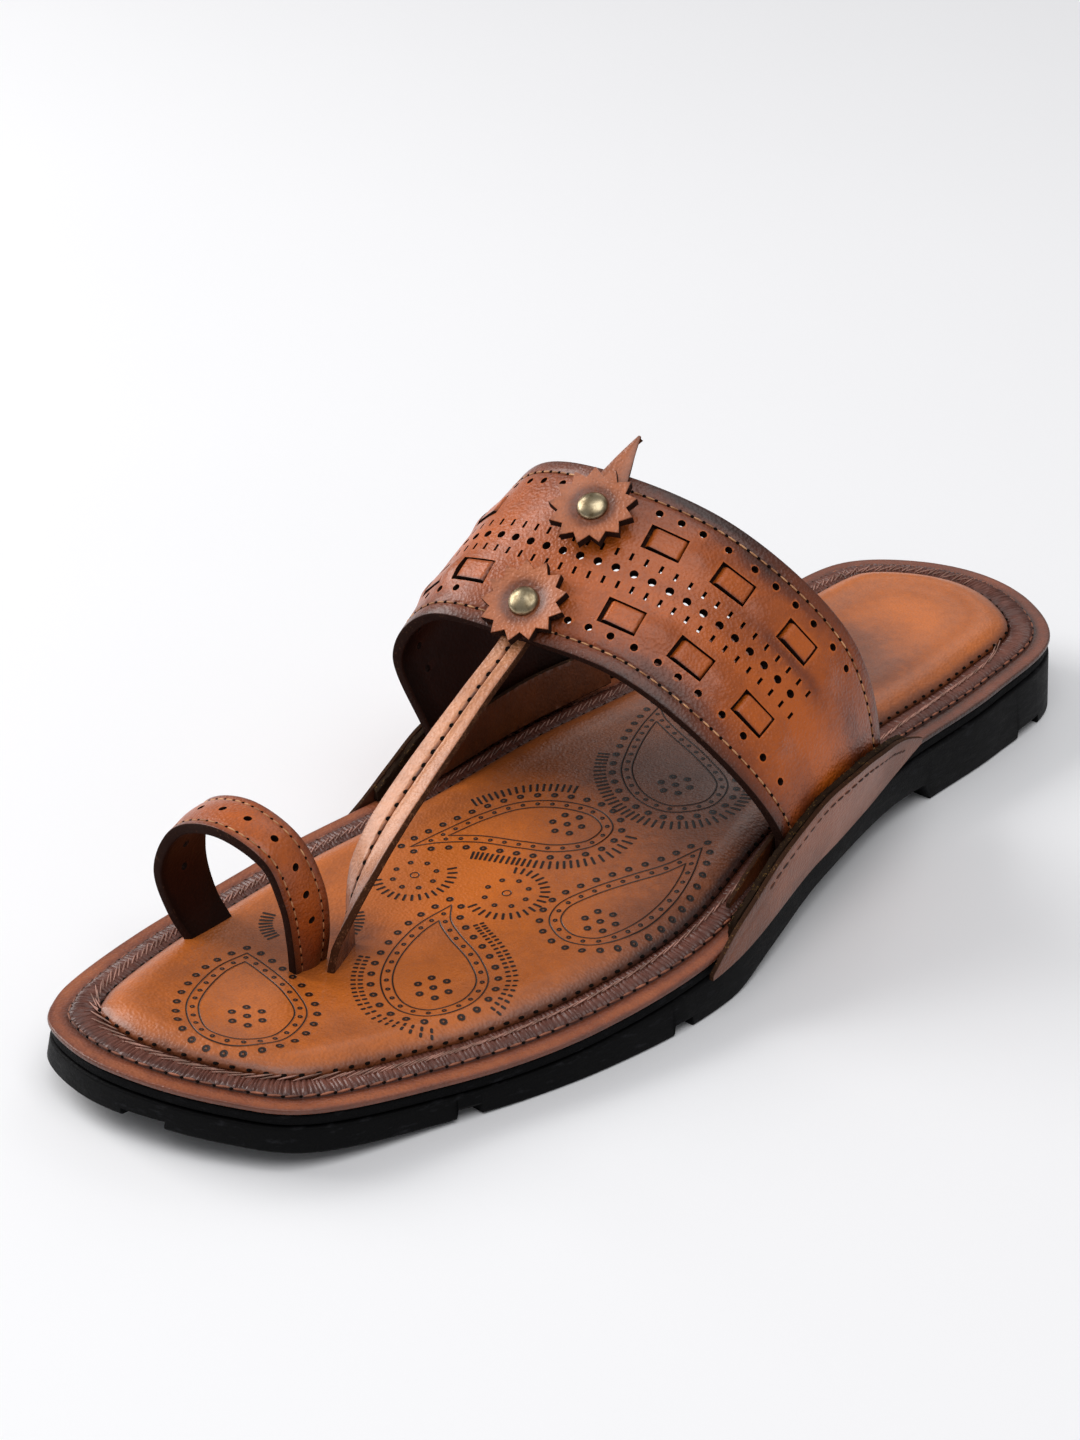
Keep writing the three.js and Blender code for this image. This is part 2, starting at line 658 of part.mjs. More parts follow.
// Outer face of the strap, from under the band down to the pad
function strapGrid() {
  const lap = BAND_THICKNESS - JOIN;
  const tucked = [STRAP_LAP.rear, RIVETS.front.across, STRAP_LAP.front].map((across) => {
    const frame = bandFrame(RIVETS.front.run, across, lap);
    return { place: new THREE.Vector3().setFromMatrixPosition(frame), turn: 0 };
  });
  const free = STRAP.map((row) => {
    return { place: overRim(row, BALL_WIDTH, INSTEP_HEIGHT), turn: THREE.MathUtils.degToRad(row.turn) };
  });
  const rows = [...tucked, ...free];
  const line = edgeCurve(rows.map((row) => row.place));
  const steps = STEPS_PER_ROW * (rows.length - 1);
  return Array.from({ length: steps + 1 }, (_, i) => {
    const t = i / steps;
    const place = t * (rows.length - 1);
    const index = Math.min(rows.length - 2, Math.floor(place));
    const turn = THREE.MathUtils.lerp(rows[index].turn, rows[index + 1].turn, place - index);
    const run = line.getTangent(t);
    const side = new THREE.Vector3(1, 0, 0).addScaledVector(run, -run.x).normalize();
    side.applyAxisAngle(run, turn);
    return [-1, 0, 1].map((share) => line.getPoint(t).addScaledVector(side, (share * STRAP_WIDTH) / 2));
  });
}

function loopGrid() {
  const front = edgeCurve(LOOP_FRONT_EDGE.map((row) => overRim(row, BALL_WIDTH, LOOP_HEIGHT)));
  const rear = edgeCurve(LOOP_REAR_EDGE.map((row) => overRim(row, BALL_WIDTH, LOOP_HEIGHT)));
  const steps = STEPS_PER_ROW * (LOOP_FRONT_EDGE.length - 1);
  return Array.from({ length: steps + 1 }, (_, i) => [0, 0.5, 1].map((share) => {
    return front.getPoint(i / steps).lerp(rear.getPoint(i / steps), share);
  }));
}

function toeLoop() {
  const grid = loopGrid();
  const out = normals(grid);
  const middle = new THREE.CatmullRomCurve3(grid.map((row) => row[1]));
  let loop = wall(grid, LOOP_THICKNESS);
  for (let i = 0; i < LOOP_HOLES; i++) {
    const share = (LOOP_HOLE_START + i * LOOP_HOLE_PITCH) / middle.getLength();
    const row = Math.round(middle.getUtoTmapping(share) * (grid.length - 1));
    const z = out[row][1];
    const y = middle.getTangentAt(share).cross(z).normalize();
    const frame = new THREE.Matrix4().makeBasis(y.clone().cross(z), y, z);
    frame.setPosition(middle.getPointAt(share));
    loop = loop.subtract(punch(frame, LOOP_HOLE_DIAMETER, PUNCH_REACH * LOOP_THICKNESS, HOLE_SIDES));
  }
  return loop;
}

const SHANK_HOLE = RIVET_SHANK + 2 * GAP;

function upperStraps() {
  let straps = wall(bandGrid(), BAND_THICKNESS).add(wall(strapGrid(), STRAP_THICKNESS));
  WINDOW_ROWS.forEach((row) => row.runs.forEach((run) => {
    straps = straps.add(windowBox(run, row.across));
  }));
  evenRuns(HOLE_ROW.across, HOLE_ROW.start, HOLE_ROW.end, HOLE_PITCH).forEach((run) => {
    const frame = bandFrame(run, HOLE_ROW.across);
    straps = straps.subtract(punch(frame, HOLE_DIAMETER, PUNCH_REACH * BAND_THICKNESS, HOLE_SIDES));
  });
  Object.values(RIVETS).forEach(({ run, across }) => {
    const depth = PUNCH_REACH * (BAND_THICKNESS + STRAP_THICKNESS);
    straps = straps.subtract(punch(bandFrame(run, across), SHANK_HOLE, depth, SHANK_SIDES));
  });
  return straps;
}

// A flat leather piece with a hole for the rivet, at a height over the band
function washer(points, thickness, turn, frame, height) {
  const shape = new THREE.Shape(points);
  shape.holes.push(new THREE.Path().absarc(0, 0, SHANK_HOLE / 2, 0, 2 * Math.PI, true));
  const body = new THREE.ExtrudeGeometry(shape, {
    depth: thickness,
    bevelEnabled: false,
    curveSegments: SHANK_SIDES,
  });
  body.rotateZ(THREE.MathUtils.degToRad(turn));
  body.translate(0, 0, height);
  return solidOf(body.applyMatrix4(frame));
}

// The toothed rosette that sits over the band
function rosette(frame, height) {
  const outer = ROSETTE_DIAMETER / 2;
  const points = Array.from({ length: 2 * ROSETTE_TEETH }, (_, i) => {
    const angle = (Math.PI * i) / ROSETTE_TEETH;
    const radius = i % 2 ? outer - TOOTH_DEPTH : outer;
    return new THREE.Vector2(radius * Math.cos(angle), radius * Math.sin(angle));
  });
  return washer(points, ROSETTE_THICKNESS, 0, frame, height);
}

// Dome, shank and back cap of a rivet in one turned piece
function rivet(frame, headHeight, backDepth) {
  const head = RIVET_HEAD / 2;
  const shank = RIVET_SHANK / 2;
  const dome = DOME_SHARES.map((share) => {
    return new THREE.Vector2(head * share, headHeight + RIVET_RISE * Math.sqrt(1 - share ** 2));
  });
  const profile = [
    new THREE.Vector2(0, -backDepth - RIVET_CAP),
    new THREE.Vector2(CAP_SHARE * head, -backDepth - RIVET_CAP),
    new THREE.Vector2(CAP_SHARE * head, -backDepth),
    new THREE.Vector2(shank, -backDepth),
    new THREE.Vector2(shank, headHeight),
    ...dome,
    new THREE.Vector2(0, headHeight + RIVET_RISE),
  ];
  const body = new THREE.LatheGeometry(profile, RIVET_SIDES);
  body.rotateX(Math.PI / 2);
  return solidOf(body.applyMatrix4(frame));
}

// Pointed end of the strap's facing, held under the rear rosette
function strapPoint(frame, height) {
  const point = (side, along) => new THREE.Vector2((side * POINT_WIDTH) / 2, along * POINT_LENGTH);
  const right = POINT_SIDE.map((row) => point(row.side, row.along));
  const left = POINT_SIDE.map((row) => point(-row.side, row.along)).reverse();
  return washer([...right, point(0, 1), ...left], POINT_THICKNESS, POINT_TURN, frame, height);
}

const LEATHER = { color: 0xa3551f, roughness: 0.42, metalness: 0 };
const DARK_LEATHER = { color: 0x3a221b, roughness: 0.6, metalness: 0 };
const RUBBER = { color: 0x161616, roughness: 0.55, metalness: 0 };
const RAW_EDGE = { color: 0x2a1c16, roughness: 0.9, metalness: 0 };
const BRASS = { color: 0x8f7a55, roughness: 0.35, metalness: 1 };

const sandal = new THREE.Group();

function piece(name, body, finish) {
  const made = body.getMesh();
  const geometry = new THREE.BufferGeometry();
  geometry.setAttribute('position', new THREE.Float32BufferAttribute(made.vertProperties, 3));
  geometry.setIndex(new THREE.Uint32BufferAttribute(made.triVerts, 1));
  const mesh = new THREE.Mesh(mergeVertices(geometry, FINE_WELD), new THREE.MeshStandardMaterial(finish));
  mesh.name = name;
  sandal.add(mesh);
}

const strapTool = wall(strapGrid(), STRAP_THICKNESS, GAP);
const loopTool = wall(loopGrid(), LOOP_THICKNESS, GAP);
const bandTool = wall(bandGrid(), BAND_THICKNESS, GAP);
const pad = insolePad().subtract(strapTool).subtract(loopTool);

piece('outsole', outsole(), RUBBER);
piece('midsole', midsole(), RUBBER);
piece('footbed_rim', rim(), LEATHER);
piece('pleated_border', pleatedBorder().subtract(loopTool), DARK_LEATHER);
piece('insole_pad', pad, LEATHER);
piece('upper_straps', upperStraps(), LEATHER);
piece('toe_loop', toeLoop(), LEATHER);

const FLAPS = [
  { name: 'lateral', side: 1, rows: LATERAL_FLAP, ends: BAND_ENDS.lateral },
  { name: 'medial', side: -1, rows: MEDIAL_FLAP, ends: BAND_ENDS.medial },
];
FLAPS.forEach(({ name, side, rows, ends }) => {
  const heel = rows[0].along;
  const toe = rows[rows.length - 1].along;
  const inner = CORE_SET_BACK / LENGTH;
  const held = Math.min(...ends.map((end) => end.rear)) - inner;
  const front = toe - LINING_SET_BACK / LENGTH;
  const outerPly = ply(side, rows, 0, OUTER_PLY, heel, toe, null, 0);
  const corePly = ply(side, rows, CORE_DEPTH, CORE_PLY, heel + inner, toe - inner, GAP, 0);
  const lining = ply(side, rows, LINING_DEPTH, LINING_PLY, held, front, TAIL_BASE, LINING_DROP);
  piece(`flap_outer_${name}`, outerPly.subtract(bandTool), LEATHER);
  piece(`flap_core_${name}`, corePly.subtract(bandTool), RAW_EDGE);
  piece(`flap_lining_${name}`, lining.subtract(bandTool), DARK_LEATHER);
});

const rearHeight = GAP + POINT_THICKNESS + GAP;
const frontFrame = bandFrame(RIVETS.front.run, RIVETS.front.across);
const rearFrame = bandFrame(RIVETS.rear.run, RIVETS.rear.across);
const frontBack = BAND_THICKNESS - JOIN + STRAP_THICKNESS + CAP_CLEARANCE;
piece('strap_point', strapPoint(rearFrame, GAP), LEATHER);
piece('rosette_front', rosette(frontFrame, GAP), LEATHER);
piece('rosette_rear', rosette(rearFrame, rearHeight), LEATHER);
const washerHeight = ROSETTE_THICKNESS + GAP;
piece('rivet_front', rivet(frontFrame, GAP + washerHeight, frontBack), BRASS);
piece('rivet_rear', rivet(rearFrame, rearHeight + washerHeight, BAND_THICKNESS + CAP_CLEARANCE), BRASS);

// Origin under the middle of the sandal, on the floor
const box = new THREE.Box3().setFromObject(sandal);
const centre = box.getCenter(new THREE.Vector3());
sandal.position.set(-centre.x, -centre.y, -box.min.z);

export default sandal;
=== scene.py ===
"""Looks of a left kolhapuri sandal, built around its CAD part.

Sizes and tables are in millimetres, or in shares of named sizes. Toe along -Y, outer side +X, up +Z.
"""

import json
import math

import bmesh
import bpy
import numpy as np
from mathutils import Matrix, Vector
from mathutils.bvhtree import BVHTree

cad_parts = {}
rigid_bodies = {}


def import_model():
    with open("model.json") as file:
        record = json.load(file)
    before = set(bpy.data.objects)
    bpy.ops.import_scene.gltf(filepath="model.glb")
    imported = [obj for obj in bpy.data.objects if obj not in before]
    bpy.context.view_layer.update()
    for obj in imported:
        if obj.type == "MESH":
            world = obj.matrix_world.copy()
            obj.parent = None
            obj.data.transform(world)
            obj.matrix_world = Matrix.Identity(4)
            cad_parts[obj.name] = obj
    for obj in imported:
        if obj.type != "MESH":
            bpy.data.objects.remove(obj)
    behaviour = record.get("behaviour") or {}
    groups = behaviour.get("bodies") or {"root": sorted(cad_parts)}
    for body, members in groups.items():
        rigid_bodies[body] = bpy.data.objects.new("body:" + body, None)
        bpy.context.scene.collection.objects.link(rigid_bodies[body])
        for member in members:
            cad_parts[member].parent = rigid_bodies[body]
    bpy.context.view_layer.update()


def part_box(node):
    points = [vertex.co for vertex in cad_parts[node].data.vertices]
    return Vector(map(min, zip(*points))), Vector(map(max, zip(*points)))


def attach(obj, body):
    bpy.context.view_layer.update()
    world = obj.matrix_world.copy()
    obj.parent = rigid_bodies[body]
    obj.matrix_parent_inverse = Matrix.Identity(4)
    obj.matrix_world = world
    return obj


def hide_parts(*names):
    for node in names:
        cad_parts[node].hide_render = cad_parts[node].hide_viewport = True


bl_info = {
    "name": "Kolhapuri sandal",
    "version": (1, 0, 0),
    "blender": (4, 5, 0),
    "location": "View3D > Sidebar > Sandal",
    "description": "Leather, rubber and brass pieces of a kolhapuri sandal",
    "category": "Object",
}

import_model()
MM = 0.001

# Sizes that the part has too
LENGTH = 290
BALL_WIDTH = 101
HEEL_WIDTH = 74
HEEL_STACK = 16.6
FOREFOOT_OUTSOLE = 5.3
TOE_SPRING = 6
ARCH_LIFT = 7
SOLE_FLARE = 0.9
MIDSOLE_THICKNESS = 2.6
MIDSOLE_INSET = 0.5
RIM_THICKNESS = 1.3
RIM_WIDTH = 4.3
BORDER_WIDTH = 6
BORDER_RISE = 0.9
PAD_RISE = 3.8
PAD_EDGE = 1
PAD_ROUNDING = 9
CHANNEL_WIDTH = 5.4
CHANNEL_DEPTH = 2.2
CHANNEL_WALL_RUN = 0.15
BREAST_RUN = 3
TOE_NOTCH_WIDTH = 10
TOE_NOTCH_REACH = 14
INSTEP_HEIGHT = 77
INSTEP_WIDTH = 98
BAND_THICKNESS = 2.6
BAND_CROWN = 1.2
STRAP_THICKNESS = 3
LOOP_HEIGHT = 40
LOOP_THICKNESS = 2.4
FLAP_HEIGHT = 20.5
FLAP_STAND_OFF = 1.5
OUTER_PLY = 1.1
CORE_PLY = 1.5
LINING_PLY = 1
TAIL_BASE = 2.2
HOLE_DIAMETER = 2
HOLE_PITCH = 4.35
LOOP_HOLE_DIAMETER = 1.8
LOOP_HOLE_PITCH = 7.3
LOOP_HOLES = 10
LOOP_HOLE_START = 19.5
WINDOW_LENGTH = 8.2
WINDOW_WIDTH = 5.5
WINDOW_RISE = 0.9
ROSETTE_DIAMETER = 20
ROSETTE_TEETH = 13
TOOTH_DEPTH = 2.3
ROSETTE_THICKNESS = 2
RIVET_HEAD = 7
RIVET_RISE = 1.6
RIVET_SHANK = 2.6
RIVET_CAP = 1
CAP_CLEARANCE = 0.8
POINT_LENGTH = 22
POINT_WIDTH = 9
POINT_THICKNESS = 1.6
POINT_TURN = -1
GAP = 0.3
JOIN = 0.5
CORE_SET_BACK = 8.7
LINING_SET_BACK = 14.5
LINING_DROP = 3
CORE_DEPTH = OUTER_PLY + GAP
BAND_DEPTH = CORE_DEPTH + CORE_PLY + 2 * GAP
LINING_DEPTH = BAND_DEPTH + BAND_THICKNESS + 2 * GAP
PAD_INSET = RIM_WIDTH + BORDER_WIDTH + GAP

# Finer sizes of the looks
STITCH_ROW = 3.5
LOOP_STITCH_ROW = 2
SMALL_HOLE = 1.8
STRAP_PLY = 1.7
SLIT_LENGTH = 1.9
SLIT_WIDTH = 0.7
SLIT_OFFSET = 3.7
SLIT_PITCH = 3.5
PRESSED_LINE = 0.5
LINE_SPACING = 2.5
PRINT_LIFT = 0.05
RIM_PITCH = 3.5
FINE_THREAD = 0.42
PRESSED_IN = 0.55
TAB_FLOOR = 1.4

# Sides of a pressed dot, and the share of a surface over which its directions are measured
DOT_SIDES = 10
SURFACE_STEP = 0.004


def table(names, *rows):
    """A short table as one array for each named column."""
    return dict(zip(names.split(), np.array(rows, float).T))


OUTLINE = table(
    "along width medial lateral",
    (0.015, HEEL_WIDTH, 0.235, 0.244),
    (0.06, HEEL_WIDTH, 0.443, 0.442),
    (0.16, HEEL_WIDTH, 0.495, 0.497),
    (0.3, HEEL_WIDTH, 0.511, 0.509),
    (0.45, BALL_WIDTH, 0.402, 0.458),
    (0.6, BALL_WIDTH, 0.445, 0.54),
    (0.72, BALL_WIDTH, 0.493, 0.503),
    (0.84, BALL_WIDTH, 0.478, 0.395),
    (0.94, BALL_WIDTH, 0.399, 0.279),
    (0.97, BALL_WIDTH, 0.356, 0.164),
)
HEEL_END = table("along across", (0, 0.013))
TOE_CORNERS = table("along across", (0.993, -0.294), (1.003, -0.15), (0.993, 0.012))
TOP_LINE = table(
    "along heel fore spring",
    (0, 1, 0, 0),
    (0.12, 0.89, 0, 0),
    (0.26, 0.81, 0, 0),
    (0.45, 0.81, 0, 0),
    (0.62, 0.27, 0.8, 0),
    (0.8, 0, 1, 0.02),
    (1, 0, 1.05, 1),
)
HEEL_EDGE = 0.02
BREAST = 0.255
UNDERSIDE = table(
    "along arch spring",
    (0, 0.1, 0),
    (HEEL_EDGE, 0, 0),
    (BREAST, 0, 0),
    (BREAST + BREAST_RUN / LENGTH, 0.7, 0),
    (0.43, 1, 0),
    (0.534, 0.5, 0),
    (0.59, 0, 0),
    (0.78, 0, 0),
    (0.84, 0, 0.13),
    (0.9, 0, 0.38),
    (1, 0, 1),
)
CHANNELS = table("along wide", (0.105, 1.9), (0.645, 1), (0.8245, 1))
TOE_NOTCH = {"across": 0, "along": 0.985}
BAND_FRONT_EDGE = table(
    "across along up",
    (-0.459, 0.5952, 0.455),
    (-0.318, 0.6028, 0.667),
    (-0.086, 0.5893, 0.674),
    (0.186, 0.5683, 0.619),
    (0.437, 0.5383, 0.373),
)
BAND_REAR_EDGE = table(
    "across along up",
    (-0.503, 0.4469, 0.605),
    (-0.374, 0.4593, 0.878),
    (-0.134, 0.4641, 0.963),
    (0.157, 0.4248, 0.842),
    (0.397, 0.3817, 0.526),
)
MEDIAL_ENDS = table("front rear share", (0.565, 0.407, 0), (0.5752, 0.4183, 1))
LATERAL_ENDS = table("front rear share", (0.5141, 0.3621, 1), (0.505, 0.352, 0))
LATERAL_FLAP = table(
    "along low high lean",
    (0.279, 0.25, 0.33, 0.05),
    (0.328, 0.12, 0.66, 0.22),
    (0.372, 0.02, 0.9, 0.3),
    (0.417, 0, 1, 0.27),
    (0.459, 0, 0.956, 0.2),
    (0.497, 0, 0.85, 0.14),
    (0.531, 0, 0.73, 0.08),
    (0.56, 0, 0.56, 0.03),
    (0.592, 0, 0.36, 0),
    (0.617, 0, 0.07, 0),
)
MEDIAL_FLAP = table(
    "along low high lean",
    (0.293, 0.25, 0.33, 0.02),
    (0.33, 0.12, 0.6, 0.1),
    (0.37, 0.02, 0.84, 0.15),
    (0.418, 0, 0.98, 0.12),
    (0.48, 0, 1.02, 0.05),
    (0.53, 0, 1, 0),
    (0.57, 0, 0.86, -0.06),
    (0.6, 0, 0.56, -0.03),
    (0.625, 0, 0.28, 0),
    (0.648, 0, 0.07, 0),
)
FLAPS = {
    "lateral": {"side": 1, "rows": LATERAL_FLAP, "ends": LATERAL_ENDS},
    "medial": {"side": -1, "rows": MEDIAL_FLAP, "ends": MEDIAL_ENDS},
}
STRAP = table(
    "across along up turn",
    (-0.089, 0.6297, 0.569, 0),
    (-0.085, 0.6628, 0.503, 2),
    (-0.08, 0.7028, 0.42, 6),
    (-0.07, 0.7352, 0.355, 12),
    (-0.058, 0.7621, 0.28, 24),
    (-0.048, 0.782, 0.185, 44),
    (-0.046, 0.792, 0.1, 62),
    (-0.045, 0.796, 0.012, 70),
)
STRAP_LAP = {"rear": 0.3, "front": 0.02}
STRAP_FACE = table(
    "run wide", (0.15, 7), (0.25, 7.2), (0.33, 7.8), (0.42, 8.8), (0.5, 9.8), (0.6, 10.8), (0.72, 12)
)
LOOP_FRONT_EDGE = table(
    "across along up",
    (-0.325, 0.853, 0.022),
    (-0.366, 0.86, 0.22),
    (-0.382, 0.8655, 0.5),
    (-0.307, 0.8655, 0.83),
    (-0.158, 0.8655, 0.98),
    (-0.044, 0.8586, 0.878),
    (-0.026, 0.848, 0.595),
    (-0.043, 0.838, 0.3),
    (-0.065, 0.83, 0.022),
)
LOOP_REAR_EDGE = table(
    "across along up",
    (-0.335, 0.8095, 0.022),
    (-0.377, 0.8145, 0.22),
    (-0.396, 0.8172, 0.5),
    (-0.347, 0.8207, 0.841),
    (-0.198, 0.8207, 0.996),
    (-0.063, 0.819, 0.916),
    (-0.028, 0.809, 0.63),
    (-0.041, 0.8015, 0.3),
    (-0.067, 0.8, 0.022),
)
RIVETS = {"front": (0.497, 0.17), "rear": (0.516, 0.73)}
HOLE_ROW = {"across": 0.5, "start": 0.26, "end": 0.74}
WINDOW_ROWS = (
    (0.28, (0.26, 0.335, 0.41, 0.59, 0.66, 0.725)),
    (0.725, (0.285, 0.352, 0.585, 0.65, 0.715)),
)
POINT_SIDE = table("side along", (0.75, -0.225), (1, 0.2), (0.62, 0.55), (0.03, 1))
DOME_SHARES = (1, 0.97, 0.9, 0.78, 0.62, 0.44, 0.22)

# Small holes along the band's edges, as runs
FRONT_HOLES = (
    0.2, 0.235, 0.27, 0.305, 0.34, 0.37, 0.4, 0.545, 0.567, 0.59, 0.615, 0.64, 0.66, 0.68, 0.705, 0.73,
    0.76, 0.8,
)
REAR_HOLES = (
    0.2, 0.235, 0.27, 0.305, 0.34, 0.37, 0.4, 0.425, 0.455, 0.54, 0.565, 0.585,
    0.605, 0.63, 0.655, 0.675, 0.695, 0.715, 0.74, 0.765,
)
FRONT_HOLE_ROW = 0.16
REAR_HOLE_ROW = 0.86

# Print on the insole pad, from the toe to the heel, as points round each drop that starts at its tip
DROPS = {
    "toe": {
        "line": (
            (-19.7, -97.6), (-19.6, -106), (-15, -117), (-10.4, -122.5), (-1, -127), (7.1, -124.2),
            (10.8, -115.8), (7.3, -105.6), (-1.5, -100.6), (-12.8, -98.2),
        ),
        "cluster": (-0.6, -114.7),
        "rays": (),
    },
    "centre": {
        "line": (
            (0.7, -56.2), (0, -66.4), (3.4, -78.4), (9.2, -86.3), (17.2, -90.3), (24.9, -88.1),
            (28.5, -79.5), (25.8, -71.2), (18.7, -66.2), (9, -62.6), (4.3, -60.2),
        ),
        "cluster": (18.3, -79.9),
        "rays": ((0.19, 0.83),),
        "dashes": 2,
    },
    "outer": {
        "line": (
            (31.3, -8.1), (28.2, -17.8), (24.4, -25.5), (20.9, -33.6), (19.2, -42), (21.6, -47.6),
            (28, -50.4), (35.4, -47.7), (39.3, -39.2), (39.2, -27.9), (36.2, -17.5),
        ),
        "cluster": (30.3, -40.9),
        "rays": (),
    },
    "inner": {
        "line": (
            (-22, -46.1), (-20.4, -37.5), (-17.8, -27.2), (-13.1, -18.5), (-5.2, -12.9), (4.4, -11),
            (10.5, -14.3), (11.2, -21.2), (5.8, -27.9), (-2.2, -31.9), (-11.2, -36), (-18.2, -41.6),
        ),
        "cluster": (0.9, -18.9),
        "rays": ((0.17, 0.34), (0.52, 0.83)),
    },
    "ball": {
        "line": (
            (-16.1, 33.2), (-12.6, 22.2), (-7.4, 11), (-2.2, 3.2), (7, -2.4), (16.6, -2.2),
            (22.7, 5.4), (20.1, 14.6), (8.9, 21.2), (-5.2, 26.6), (-11.6, 29.6),
        ),
        "cluster": (10.8, 7.1),
        "rays": ((0.2, 0.84),),
    },
}
FLOWERS = {
    "first": {"centre": (-13.5, -53.3), "rays": (-130, 60)},
    "second": {"centre": (7.4, -45.8), "rays": (-110, 125)},
}
FAN = {"centre": (-18.9, -79.5), "radius": 8.4, "arcs": ((205, 262), (8, 62))}

# Darker and lighter places, partly the leather's own burnish and partly painted shade and painted highlight,
# in the sizes' own frame: where, how far it reaches, how strong
# Over the heel the pad's dark patches are partly painted shadow of the band; the lighter ones towards the toe
# are partly painted highlight.
PAD_BURNISH_AND_SHADING = table(
    "x y reach dark",
    (-17, -84, 10, 0.5),
    (-5, -77, 7, 0.45),
    (4, -66, 7, 0.3),
    (28, 0, 24, 0.2),
    (0, 2, 24, 0.3),
    (6, 36, 30, 0.35),
    (44, -8, 14, 0.25),
    (0, 84, 17, 0.5),
    (0, 62, 20, 0.5),
    (0, 44, 18, 0.2),
    (-34, 84, 14, 0.3),
    (38, -34, 9, 0.2),
    (-6, -60, 16, -0.2),
    (12, -84, 16, -0.3),
    (-14, -44, 14, -0.2),
    (14, -26, 14, 0.15),
    (0, 118, 26, -0.1),
)
# The band's dark and light patches are partly its burnish and partly painted shade and painted highlight.
BAND_BURNISH_AND_SHADING = table(
    "run across reach dark",
    (0.665, 0.9, 0.05, 0.45),
    (0.6, 0.97, 0.04, 0.5),
    (0.72, 0.62, 0.045, 0.45),
    (0.86, 0.75, 0.09, 0.4),
    (0.9, 0.25, 0.08, 0.35),
    (0.52, 0.14, 0.04, 0.3),
    (0.65, 0.1, 0.05, 0.35),
    (0.56, 0.6, 0.07, -0.35),
    (0.63, 0.42, 0.06, -0.35),
    (0.8, 0.45, 0.07, -0.3),
    (0.36, 0.5, 0.1, -0.2),
)

# The camera that the photograph's frame comes from, in the sizes' own frame
CAMERA = {
    "azimuth": 42.802,
    "elevation": 29.225,
    "roll": -0.508,
    "target": (-34.752, 10.854, 20),
    "distance": 662.13,
    "lens": 69.05,
}


def column(rows, name):
    """A curve through one column of a table that never overshoots its rows."""
    x, y = rows["along"], rows[name]
    step = np.diff(y) / np.diff(x)
    before, after = step[:-1], step[1:]
    same = before * after > 0
    middle = np.where(same, 2 * before * after / np.where(same, before + after, 1), 0)
    slopes = np.concatenate([step[:1], middle, step[-1:]])

    def at(along):
        place = np.clip(along, x[0], x[-1])
        i = np.clip(np.searchsorted(x, place, side="right") - 1, 0, len(x) - 2)
        run = x[i + 1] - x[i]
        t = (place - x[i]) / run
        ends = (2 * t**3 - 3 * t**2 + 1) * y[i] + (3 * t**2 - 2 * t**3) * y[i + 1]
        bend = (t**3 - 2 * t**2 + t) * slopes[i] + (t**3 - t**2) * slopes[i + 1]
        return ends + bend * run

    return at


def spline(points, closed=False):
    """A smooth curve through points, as a function of its share from 0 to 1."""
    points = np.array(points, float)
    if closed:
        chain = np.vstack([points[-1:], points, points[:2]])
        count = len(points)
    else:
        chain = np.vstack([2 * points[0] - points[1], points, 2 * points[-1] - points[-2]])
        count = len(points) - 1

    def at(share):
        place = np.clip(np.asarray(share, float), 0, 1) * count
        i = np.minimum(place.astype(int), count - 1)
        w = (place - i)[..., None]
        p0, p1, p2, p3 = (chain[i + k] for k in range(4))
        d0, d1, d2 = (
            np.maximum(np.linalg.norm(b - a, axis=-1, keepdims=True) ** 0.5, 1e-6)
            for a, b in ((p0, p1), (p1, p2), (p2, p3))
        )
        t1 = ((p1 - p0) / d0 - (p2 - p0) / (d0 + d1) + (p2 - p1) / d1) * d1
        t2 = ((p2 - p1) / d1 - (p3 - p1) / (d1 + d2) + (p3 - p2) / d2) * d1
        bend = (3 * (p2 - p1) - 2 * t1 - t2) * w**2 + (2 * (p1 - p2) + t1 + t2) * w**3
        return p1 + t1 * w + bend

    return at


def unit(vectors):
    return vectors / np.maximum(np.linalg.norm(vectors, axis=-1, keepdims=True), 1e-12)


def mix(a, b, share):
    return a + (b - a) * share


def bell(value, middle, reach):
    """A smooth bump, 1 high at its middle."""
    return np.exp(-(((value - middle) / reach) ** 2))


def spoke(angle):
    """The flat unit direction at each angle."""
    return np.stack([np.cos(angle), np.sin(angle)], -1)


def travelled(points):
    """How far along a line each of its points lies."""
    return np.append(0, np.cumsum(np.linalg.norm(np.diff(points, axis=0), axis=1)))


def with_height(flat, height):
    """Flat points with a height, or one height for each."""
    return np.column_stack([flat, np.broadcast_to(height, len(flat))])


heel_share = column(TOP_LINE, "heel")
fore_share = column(TOP_LINE, "fore")
top_spring = column(TOP_LINE, "spring")
arch_share = column(UNDERSIDE, "arch")
under_spring = column(UNDERSIDE, "spring")


def y_at(along):
    return LENGTH / 2 - along * LENGTH


def along_at(y):
    return 0.5 - y / LENGTH


def outsole_top(along):
    heel = heel_share(along) * HEEL_STACK
    return heel + fore_share(along) * FOREFOOT_OUTSOLE + top_spring(along) * TOE_SPRING


def rim_top(along):
    return outsole_top(along) + MIDSOLE_THICKNESS + RIM_THICKNESS + 2 * GAP


def underside(along):
    lift = arch_share(along) * ARCH_LIFT + under_spring(along) * TOE_SPRING
    for place, wide in zip(CHANNELS["along"], CHANNELS["wide"]):
        lift = lift + CHANNEL_DEPTH * (np.abs(along - place) * LENGTH < wide * CHANNEL_WIDTH / 2)
    return lift


